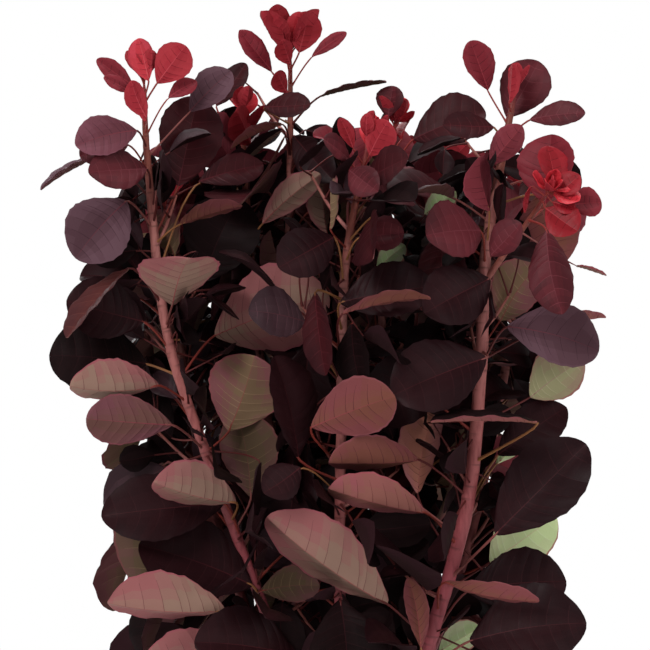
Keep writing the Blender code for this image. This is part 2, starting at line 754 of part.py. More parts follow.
def set_leaf(stem, spec, attempt):
    """The leaf of a hand-set entry; each further attempt sways and shrinks it a little."""
    sway = SWAY * ((attempt + 1) // 2) * (-1) ** attempt
    along = heading(spec.course + sway, spec.pitch)
    level_up = (Vector((0, 0, 1)) - along * along.z).normalized()
    side = along.cross(level_up)
    front = side if side.y < 0 else -side
    turn, fold, arch = spec.seen.value
    turn = math.radians(turn)
    return leaf_at(
        stem,
        stem.path.distance_at(spec.height * MM),
        spec.bearing + sway,
        spec.lift,
        spec.stalk * MM,
        along,
        level_up * math.cos(turn) + front * math.sin(turn),
        length=spec.length * MM * (1 - SET_SHRINK * attempt),
        width=spec.width,
        fold=fold,
        arch=arch,
    )


def drawn_leaf(stem, distance, number, attempt, draw):
    """A leaf by the spiral rule; each further attempt strays further from it."""
    below_tip = stem.path.length - distance + stem.age
    stray = STRAY + STRAY_STEP * attempt
    bearing = stem.phase + number * SPIRAL + draw.uniform(-1, 1) * BEARING_STRAY * stray
    lift = by_age(STALK_LIFTS, below_tip) + draw.uniform(-1, 1) * LIFT_STRAY * stray
    course = bearing + draw.uniform(-1, 1) * BEARING_STRAY * stray
    pitch = by_age(BLADE_PITCHES, below_tip) + draw.uniform(-1, 1) * PITCH_STRAY * stray
    along = heading(course, pitch)
    level_up = (Vector((0, 0, 1)) - along * along.z).normalized()
    outward = (stem.path.at(distance).xy - CROWN_CENTRE).to_3d().normalized()
    facing = math.radians(draw.uniform(*(UNDER_FACING if draw.random() < UNDER_SHARE else FACING)))
    shrink = 1 - SHRINK_STEP * attempt
    return leaf_at(
        stem,
        distance,
        bearing,
        lift,
        by_age(STALK_LENGTHS, below_tip) * draw.uniform(*STALK_RANGE),
        along,
        level_up * math.cos(facing) + outward * math.sin(facing),
        length=by_age(BLADE_LENGTHS, below_tip) * draw.uniform(*LENGTH_RANGE) * shrink,
        width=draw.uniform(*BLADE_WIDTHS),
        fold=draw.uniform(*BLADE_FOLDS),
        arch=draw.uniform(*BLADE_ARCHES),
    )


def leaf_nodes(stem):
    """Distances of a stem's leaf nodes, from its tip down to where it is bare."""
    below_tip = FIRST_NODE
    while stem.path.length - below_tip > stem.leafy_from:
        yield stem.path.length - below_tip
        below_tip += by_age(NODE_SPACINGS, below_tip + stem.age)


class Mass:
    """One leafy shoot: its bough below, its stem, its side twigs and its leaves."""

    def __init__(self, shoot):
        self.shoot = shoot
        seat, facing = seat_of(shoot)
        start = seat + facing * GAP
        tip = Vector(shoot.tip) * MM
        via = [Vector(p) * MM for p in shoot.via] or self.lean(tip)
        path = Path([start, start + facing * SEAT_RUN, *via, tip])
        self.bare = path.distance_at(BARE_HEIGHT)
        leafy_from = self.bare + LEAFY_OFFSET
        self.stems = [Stem(path, shoot.girth / 2 * MM, leafy_from, shoot.leaves, shoot.phase)]
        self.leaves = []

    def lean(self, tip):
        """The places that a shoot with no path of its own passes."""
        return [
            Vector((tip.x * share, tip.y * share, height))
            for share, height in zip(LEAN_SHARES, LEAN_HEIGHTS)
        ]

    def grow_twigs(self, crown, draw):
        """Adds the side twigs: the one given, or those of the seeded rule."""
        main = self.stems[0]
        if self.shoot.twig:
            path = Path([Vector(p) * MM for p in self.shoot.twig])
            self.add_twig(crown, path, self.shoot.twig_leaves)
            return
        if self.shoot.leaves and not self.shoot.inner:
            return
        outward = math.degrees(math.atan2(self.shoot.tip[1], self.shoot.tip[0]))
        for share in TWIG_HEIGHT_SHARES:
            distance = main.path.length * (share + draw.uniform(-1, 1) * TWIG_STRAY)
            root = main.path.at(distance)
            length = draw.uniform(*TWIG_LENGTHS)
            out = heading(outward + draw.uniform(-1, 1) * TWIG_SPREAD, TWIG_RISE)
            tip = root + out * length
            middle = root.lerp(tip, 0.5) - Vector((0, 0, TWIG_SAG * length))
            self.add_twig(crown, Path([root, middle, tip]), (), TWIG_AGE)

    def add_twig(self, crown, path, leaves, age=0):
        """Keeps a side twig if nothing but its own stem is in its way."""
        leafy_from = path.length * TWIG_BARE_SHARE
        phase = self.shoot.phase + TWIG_TURN
        stem = Stem(path, TWIG_ROOT_RADIUS, leafy_from, leaves, phase, age)
        clear = self.stems[0].root_radius * 2 + CLEARANCE
        form = tube(
            path, clear, path.length, lambda d: stem.radius(d) + CLEARANCE, STEM_SIDES, FINE_SPACING
        )
        if crown.is_free(form, form, self.shoot.name):
            self.stems.append(stem)
            fine = tube(path, 0, path.length, stem.radius, STEM_SIDES, FINE_SPACING)
            crown.add(fine, self.shoot.name)

    def grow_set_leaves(self, crown, front):
        """Places the hand-set leaves, each only where it is free, and keeps them in sight."""
        for stem in self.stems:
            for spec in stem.leaves:
                any(self.keep(crown, set_leaf(stem, spec, n)) for n in range(SET_TRIES))
        for leaf in self.leaves:
            front.show_leaf(leaf)
        for low, high in self.shoot.shows:
            front.show_stem(self.stems[0].path, low, high)

    def grow_drawn_leaves(self, crown, front, draw):
        """Fills the other nodes by the spiral rule, skipping a leaf that finds no room."""
        for stem in self.stems:
            taken = [stem.path.distance_at(spec.height * MM) for spec in stem.leaves]
            for number, distance in enumerate(leaf_nodes(stem)):
                near = [t for t in taken if abs(t - distance) < NODE_ROOM]
                if near:
                    taken.remove(near[0])
                    continue
                for attempt in range(TRIES):
                    leaf = drawn_leaf(stem, distance, number, attempt, draw)
                    inside = inside_crown([leaf.blade_point(s, 0) for s in (0.5, 1)])
                    if not inside or front.is_hidden_by(leaf) or front.is_over_skyline(leaf):
                        continue
                    if self.keep(crown, leaf):
                        break

    def keep(self, crown, leaf):
        """Places a leaf if it is free; young ones of one shoot may crowd one another."""
        rosette = leaf.length < ROSETTE_LEAF
        turns_back = (leaf.base - leaf.root).normalized().dot(leaf.along) < SHARPEST_TURN
        whole = leaf_form(leaf, CLEARANCE)
        outer = leaf_form(leaf, CLEARANCE, leaf.free_from)
        if turns_back or not crown.is_free(whole, outer, self.shoot.name, rosette):
            return False
        crown.add(leaf_form(leaf), self.shoot.name, rosette)
        self.leaves.append(leaf)
        return True

    def stem_forms(self):
        """The tubes of the leafy stem and its side twigs."""
        for stem in self.stems:
            start = self.bare + GAP if stem is self.stems[0] else 0
            yield tube(
                stem.path, start, stem.path.length, stem.radius, STEM_SIDES, STEM_RING_SPACING
            )

    def bough_form(self):
        main = self.stems[0]
        return tube(main.path, 0, self.bare, main.radius, BOUGH_SIDES, BOUGH_RING_SPACING)

    def fuse(self, material):
        """Joins the stem, twigs and leaves into one solid by one union on a collection."""
        forms = list(self.stem_forms())
        body = solid("shoot_" + self.shoot.name, *forms[0])
        extras = bpy.data.collections.new("parts_of_" + self.shoot.name)
        bpy.context.scene.collection.children.link(extras)
        for k, form in enumerate(forms[1:] + [leaf_form(leaf) for leaf in self.leaves]):
            thing = solid(f"part_{k}", *form)
            bpy.context.scene.collection.objects.unlink(thing)
            extras.objects.link(thing)
        union = body.modifiers.new("union", "BOOLEAN")
        union.operation = "UNION"
        union.operand_type = "COLLECTION"
        union.collection = extras
        union.solver = "MANIFOLD"
        bpy.context.view_layer.update()
        seen = body.evaluated_get(bpy.context.evaluated_depsgraph_get())
        fused = bpy.data.meshes.new_from_object(seen)
        body.modifiers.clear()
        keep_biggest_island(fused)
        body.data = fused
        for thing in list(extras.objects):
            bpy.data.objects.remove(thing, do_unlink=True)
        bpy.data.collections.remove(extras)
        body.data.materials.clear()
        body.data.materials.append(material)


def build_collar():
    """The flared stump, with a slanted seat for each outer bough and a flat top."""
    draw = random.Random(SEED)
    profile = (
        (FOOT_RADIUS, 0),
        ((FOOT_RADIUS + WAIST_RADIUS) / 2, FLARE_HEIGHT),
        (WAIST_RADIUS, WAIST_HEIGHT),
        (RIM_RADIUS, RIM_HEIGHT),
        (TOP_RADIUS, SHOULDER_HEIGHT),
        (TOP_RADIUS, TOP_HEIGHT),
    )
    points = []
    faces = [tuple(range(SEATS))]
    for (radius, height), unevenness in zip(profile, UNEVENNESS):
        for k in range(SEATS):
            uneven = 1 + unevenness * draw.uniform(-1, 1)
            corner = heading((k + 0.5) * 360 / SEATS, 0) * radius * uneven
            points.append(corner + Vector((0, 0, height)))
    for level in range(len(profile) - 1):
        for k in range(SEATS):
            a = level * SEATS + k
            b = level * SEATS + (k + 1) % SEATS
            faces.append((a, b, b + SEATS, a + SEATS))
    faces.append(tuple(range(len(points) - SEATS, len(points))))
    return solid("root_collar", points, faces)


def build_plant():
    clear_scene()
    build_collar().data.materials.append(finish("collar_bark", *COLLAR_FINISH))
    draw = random.Random(SEED)
    masses = [Mass(shoot) for shoot in SHOOTS]
    crown = Crown()
    front = Front()
    for mass in masses:
        main = mass.stems[0]
        fine = tube(main.path, 0, main.path.length, main.radius, STEM_SIDES, FINE_SPACING)
        crown.add(fine, mass.shoot.name)
    for mass in masses:
        mass.grow_twigs(crown, draw)
    for mass in masses:
        mass.grow_set_leaves(crown, front)
    for mass in masses:
        mass.grow_drawn_leaves(crown, front, draw)
    for mass in masses:
        name = mass.shoot.name
        bough = solid("bough_" + name, *mass.bough_form())
        bough.data.materials.append(finish("bark_" + name, *BOUGH_FINISH))
        mass.fuse(finish("leaves_" + name, *LEAF_FINISH))
    return masses


PLANT = build_plant()
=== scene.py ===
import logging
import math
import random
from dataclasses import dataclass, field
from enum import Enum
from typing import Callable, Iterator, Sequence

import bmesh
import bpy
import numpy as np
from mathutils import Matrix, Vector, noise
from mathutils.bvhtree import BVHTree


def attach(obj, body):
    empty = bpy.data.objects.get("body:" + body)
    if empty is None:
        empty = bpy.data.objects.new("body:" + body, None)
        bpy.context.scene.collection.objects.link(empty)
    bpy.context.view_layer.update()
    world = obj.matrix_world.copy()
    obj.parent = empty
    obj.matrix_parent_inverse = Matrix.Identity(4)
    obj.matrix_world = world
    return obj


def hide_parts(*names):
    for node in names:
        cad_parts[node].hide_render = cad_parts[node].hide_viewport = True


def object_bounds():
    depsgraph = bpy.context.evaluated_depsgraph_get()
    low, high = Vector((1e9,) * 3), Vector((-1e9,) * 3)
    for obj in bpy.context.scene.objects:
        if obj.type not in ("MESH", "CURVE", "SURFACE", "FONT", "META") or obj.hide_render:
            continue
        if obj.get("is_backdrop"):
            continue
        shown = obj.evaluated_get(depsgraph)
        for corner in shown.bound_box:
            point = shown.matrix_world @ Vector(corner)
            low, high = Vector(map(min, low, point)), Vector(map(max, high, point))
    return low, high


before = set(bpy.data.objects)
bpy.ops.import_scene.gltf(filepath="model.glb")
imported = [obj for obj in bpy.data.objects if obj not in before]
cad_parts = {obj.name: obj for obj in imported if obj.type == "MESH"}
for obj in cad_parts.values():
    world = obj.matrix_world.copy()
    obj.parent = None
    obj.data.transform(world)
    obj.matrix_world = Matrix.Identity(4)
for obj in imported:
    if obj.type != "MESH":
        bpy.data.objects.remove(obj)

MM = 0.001
SEED = 40
GAP = 0.3 * MM

# The root collar: a low flared stump with eight slanted seats round a flat top.
SEATS = 8
FOOT_RADIUS = 27 * MM
WAIST_RADIUS = 20 * MM
RIM_RADIUS = 21 * MM
TOP_RADIUS = 10 * MM
FLARE_HEIGHT = 7 * MM
WAIST_HEIGHT = 17 * MM
RIM_HEIGHT = 26 * MM
SHOULDER_HEIGHT = 35 * MM
TOP_HEIGHT = 40 * MM
INNER_SEAT_RADIUS = 4.4 * MM

# Stems: bare to BARE_HEIGHT, leafy above it, tapering to a slender tip.
BARE_HEIGHT = 95 * MM
STEM_TIP_RADIUS = 1.3 * MM
STEM_SIDES = 6
FINE_SPACING = 12 * MM
SEAT_RUN = 5 * MM
TAPER_POWER = 0.35
LEAN_HEIGHTS = (95 * MM, 200 * MM, 320 * MM)
LEAN_SHARES = (0.30, 0.68, 0.93)

# Leaves by the distance of their node below the shoot's tip.
AGE_STOPS = (0, 18 * MM, 50 * MM, 110 * MM, 220 * MM)
NODE_SPACINGS = (3.5 * MM, 5 * MM, 8 * MM, 11.5 * MM, 13 * MM)
BLADE_LENGTHS = (16 * MM, 30 * MM, 52 * MM, 67 * MM, 76 * MM)
STALK_LENGTHS = (4 * MM, 9 * MM, 18 * MM, 27 * MM, 33 * MM)
STALK_LIFTS = (74, 62, 50, 42, 34)
BLADE_PITCHES = (72, 55, 15, -25, -48)
FIRST_NODE = 2 * MM
LEAFY_OFFSET = 6 * MM
SPIRAL = 137.5
STRAY = 0.35
STRAY_STEP = 0.12
BEARING_STRAY = 60
LIFT_STRAY = 25
PITCH_STRAY = 40
SHRINK_STEP = 0.025
STALK_RANGE = (0.85, 1.2)
LENGTH_RANGE = (0.88, 1.1)

WIDEST_POWER = 1.27
ROUND_POWER = 0.62
BLADE_WIDTHS = (0.66, 0.86)
BLADE_FOLDS = (12, 34)
BLADE_ARCHES = (-0.02, 0.10)
FACING = (15, 75)
UNDER_FACING = (-75, -35)
UNDER_SHARE = 0.1
MIDRIB_SHARE = 0.02
THINNEST_MIDRIB = 0.8 * MM
STALK_RADIUS = 0.95 * MM
STALK_TAPER = 0.8
STALK_CORNERS = (math.radians(150), math.radians(30), math.radians(-90))
LARGE_LEAF = 44 * MM
LARGE_ROWS = (0.28, 0.60, 0.87)
SMALL_ROWS = (0.36, 0.78)

CROWN_CENTRE = Vector((-14 * MM, 8 * MM))
CROWN_HEIGHTS = (30 * MM, 110 * MM, 240 * MM, 310 * MM, 400 * MM, 500 * MM)
CROWN_RADII = (104 * MM, 126 * MM, 130 * MM, 148 * MM, 146 * MM, 60 * MM)
CROWN_FRONT = -116 * MM
CLEARANCE = 0.7 * MM
ROSETTE_LEAF = 30 * MM
SHARPEST_TURN = math.cos(math.radians(125))
TRIES = 22
FREE_MARGIN = 2.4 * MM
FREE_LIMIT = 0.9
LEAST_SPREAD = 0.2
SET_TRIES = 11
SWAY = 4
SET_SHRINK = 0.015
NODE_ROOM = 4.2 * MM

# The set leaves are laid out as seen from here. No leaf drawn by chance covers them there,
# or rises over the skyline: its height at some places from left to right.
VIEWPOINT = Vector((-14 * MM, -1500 * MM, 319 * MM))
SKYLINE_PLACES = (-165 * MM, -135 * MM, -95 * MM, -65 * MM, -30 * MM, 30 * MM, 85 * MM, 130 * MM)
SKYLINE_HEIGHTS = (300 * MM, 390 * MM, 433 * MM, 458 * MM, 434 * MM, 438 * MM, 438 * MM, 405 * MM)
OUTLINE_SHARES = (0.05, 0.3, 0.55, 0.8, 0.97)
SHOWN_SHARES = (0.25, 0.5, 0.75)
SHOWN_SIDES = (-0.5, 0, 0.5)
SHOWN_STALK = (0.5, 0.9)
SHOWN_SPACING = 6
FINER_SHARES = (0.12, 0.37, 0.63, 0.88)
FINER_SIDES = (-0.85, -0.4, 0, 0.4, 0.85)
FINER_STEM_STEP = 3
FINER_STEM_SIDES = (-1, 0, 1)

TWIG_HEIGHT_SHARES = (0.40, 0.60)
TWIG_STRAY = 0.04
TWIG_LENGTHS = (42 * MM, 66 * MM)
TWIG_SAG = 0.06
TWIG_BARE_SHARE = 0.25
TWIG_TURN = 70
TWIG_RISE = 52
TWIG_SPREAD = 55
TWIG_ROOT_RADIUS = 1.9 * MM
TWIG_AGE = 55 * MM

# The finer growth, which only the visual model has: short twigs with small leaves inside the
# crown, leaves straight from the stems there, and a whorl of the youngest at each tip.
SPUR_SPACING = 21 * MM
SPUR_LENGTHS = (24 * MM, 44 * MM)
SPUR_RISES = (30, 60)
SPUR_RADIUS = 1.1 * MM
SPUR_TIP_RADIUS = 0.5 * MM
SPUR_AGE = 48 * MM
SPUR_REACH = 0.8
FINER_START = 40 * MM
FINER_SPACING = 7 * MM
FINER_SIZE = 0.72
FINER_REACH = 0.66
FINER_STRAY = 3
# Sight lines from several sides find where sky shows through the inside, and a leaf grows across each
# such place, dressed dark in painted shade.
SIGHT_SIDES = (-90, -90, -90, 90, 0, 180, -45, 225, 45, 135)
SIGHT_DISTANCE = 1500 * MM
SIGHT_SPACING = 4 * MM
SIGHT_REACH = 0.84
SIGHT_LOW = 142 * MM
SIGHT_BELOW_SKYLINE = 30 * MM
SIGHT_DEPTHS = (-50 * MM, 90 * MM)
SIGHT_TRIES = 70
SIGHT_NODES = 10
SIGHT_SIZES = (20 * MM, 62 * MM)
SIGHT_STALK = 7 * MM
SIGHT_SLANT = 0.75
NODE_STEP = 7 * MM
WHORL_LEAVES = 8
WHORL_LENGTHS = (9 * MM, 17 * MM)
WHORL_PITCHES = (84, 50)
WHORL_RISES = (80, 60)
WHORL_STALKS = (1.6 * MM, 5 * MM)

Form = tuple[list[Vector], list[tuple[int, ...]]]
LOG = logging.getLogger("smoke_bush")


@dataclass(frozen=True)
class SideDress:
    """The colours of one side of a blade, as screen colour codes."""

    name: str
    inner: str
    outer: str
    vein: str
    midrib: str
    rim: str
    roughness: float = 0.5
    specular: float = 0.06


class TopDress(Enum):
    """The top sides, from the scarlet of a tip to the near black of an old leaf; two carry painted
    sheen, as marked.
    """

    SCARLET = SideDress("scarlet", "b02530", "c4303a", "84161f", "c84444", "b0242d", 0.42, 0.12)
    CRIMSON = SideDress("crimson", "80171f", "8e1e27", "5e0d14", "9c2e34", "841924", 0.42, 0.12)
    RED = SideDress("red", "6e2029", "7a2831", "4a131a", "883038", "70252d", 0.45, 0.08)
    WINE = SideDress("wine", "582228", "461c21", "6a3037", "683037", "461d23", 0.45, 0.08)
    PLUM = SideDress("plum", "5e2f38", "6c3c47", "43202a", "6c2f38", "5c2f38", 0.6, 0.16)
    MAROON = SideDress("maroon", "3b1317", "301115", "4e1f24", "4e1c22", "2e1015", 0.45, 0.08)
    DARK = SideDress("dark", "281114", "1f0c0f", "34181b", "40191d", "220d11", 0.45, 0.07)
    BLACK = SideDress("black", "1b0e0f", "140a0b", "261315", "2c1316", "150a0b", 0.5, 0.04)
    # Painted sheen: a greyish dark top that stands in for the sheen on some leaves inside the crown.
    HAZE = SideDress("haze", "3c272c", "301d22", "50333a", "4c2a30", "2f1c20", 0.45, 0.12)
    RUST = SideDress("rust", "542826", "482324", "6a3a34", "70393a", "4e2626", 0.55, 0.1)
    # Waxy bloom and painted sheen: a grey-violet top whose greyness stands in partly for the sheen of
    # glossy leaves.
    BLOOM = SideDress("bloom", "4a3138", "5a4048", "382228", "5c3038", "4a3338", 0.7)


class UnderDress(Enum):
    """The undersides: reds, pinks, khaki and a pale green, pinker to the margin; two carry painted
    shade and one painted light, as marked.
    """

    BRIGHT = SideDress("bright_under", "c03a44", "cc4854", "8a2a33", "cc565c", "b83c48", 0.6)
    YOUNG = SideDress("young_under", "982a33", "a4343c", "741a23", "b0424a", "a0343c", 0.6)
    CHERRY = SideDress("cherry", "801e25", "8a262e", "5a1118", "943038", "86242c", 0.6)
    CLARET = SideDress("claret", "7a323a", "843c45", "501c24", "903e46", "883c46", 0.6)
    ROSE = SideDress("rose", "88564e", "8c4e52", "5c2c2e", "904a4e", "924c52", 0.7)
    CLAY = SideDress("clay", "704238", "743e40", "502628", "803e40", "7c4448", 0.7)
    DUSTY = SideDress("dusty", "8b6d60", "905858", "643a3a", "944b4c", "945258", 0.7)
    MAUVE = SideDress("mauve", "66443f", "6e4248", "50292c", "803c44", "784249", 0.7)
    KHAKI = SideDress("khaki", "78604a", "825052", "92765c", "8a4c46", "8a4c50", 0.7)
    OLIVE = SideDress("olive", "544333", "603e3e", "6e5943", "66413a", "663c3b", 0.7)
    GREEN = SideDress("green", "b4ca90", "bec09c", "c8d6aa", "baa888", "a8746a", 0.7)
    PALE = SideDress("pale_green", "c2d29a", "c4c89c", "ced8ae", "c8b494", "a87868", 0.7)
    # Partly painted light: a brown underside made lighter to stand in for the light on a leaf that
    # sits in shadow.
    BROWN = SideDress("brown", "c07c6a", "c07a7c", "8c564c", "bc6c66", "b86e70", 0.7)
    # Partly painted shade: a green underside with a pink margin, darkened for a leaf that lies in part
    # shade.
    MOSS = SideDress("moss", "8f8a68", "947868", "a29c7a", "94786a", "94645c", 0.7)
    # Painted shade: a near-black underside for the leaves inside the crown, standing in for the shade
    # there.
    SHADE = SideDress("shade", "281618", "2c181c", "36201e", "3e2022", "2c171b", 0.7)


class Seen(Enum):
    """How a set leaf shows from the front: its top side's turn to there, its fold and arch."""

    TOP = (66, 12, 0.04)
    UNDER = (-72, 12, 0.04)
    MOON = (-46, 29, -0.05)
    EDGE = (5, 16, 0.02)
    BAND = (-20, 14, 0.04)
    FLAT = (0, 14, 0.04)


@dataclass(frozen=True)
class SetLeaf:
    """A leaf listed as in the part's source; tint dresses the side that shows."""

    height: float
    bearing: float
    lift: float
    stalk: float
    course: float
    pitch: float
    seen: Seen
    length: float
    width: float = 0.7
    tint: TopDress | UnderDress | None = None


@dataclass(frozen=True)
class Rose:
    """The whorl of a tip: its size, how far it opens in degrees, and its leaves' breadth."""

    size: float = 1.0
    opening: float = 0
    breadth: float = 0.72


@dataclass(frozen=True)
class Shoot:
    """One stem from the collar to its tip, in millimetres, with its set leaves."""

    name: str
    bearing: float
    tip: tuple[float, float, float]
    girth: float
    inner: bool = False
    via: tuple[tuple[float, float, float], ...] = ()
    leaves: tuple[SetLeaf, ...] = ()
    twig: tuple[tuple[float, float, float], ...] = ()
    twig_leaves: tuple[SetLeaf, ...] = ()
    phase: float = 0
    shows: tuple[tuple[int, int], ...] = ()
    rose: Rose = Rose()
    twig_rose: Rose = Rose(0.95, 34, 0.92)


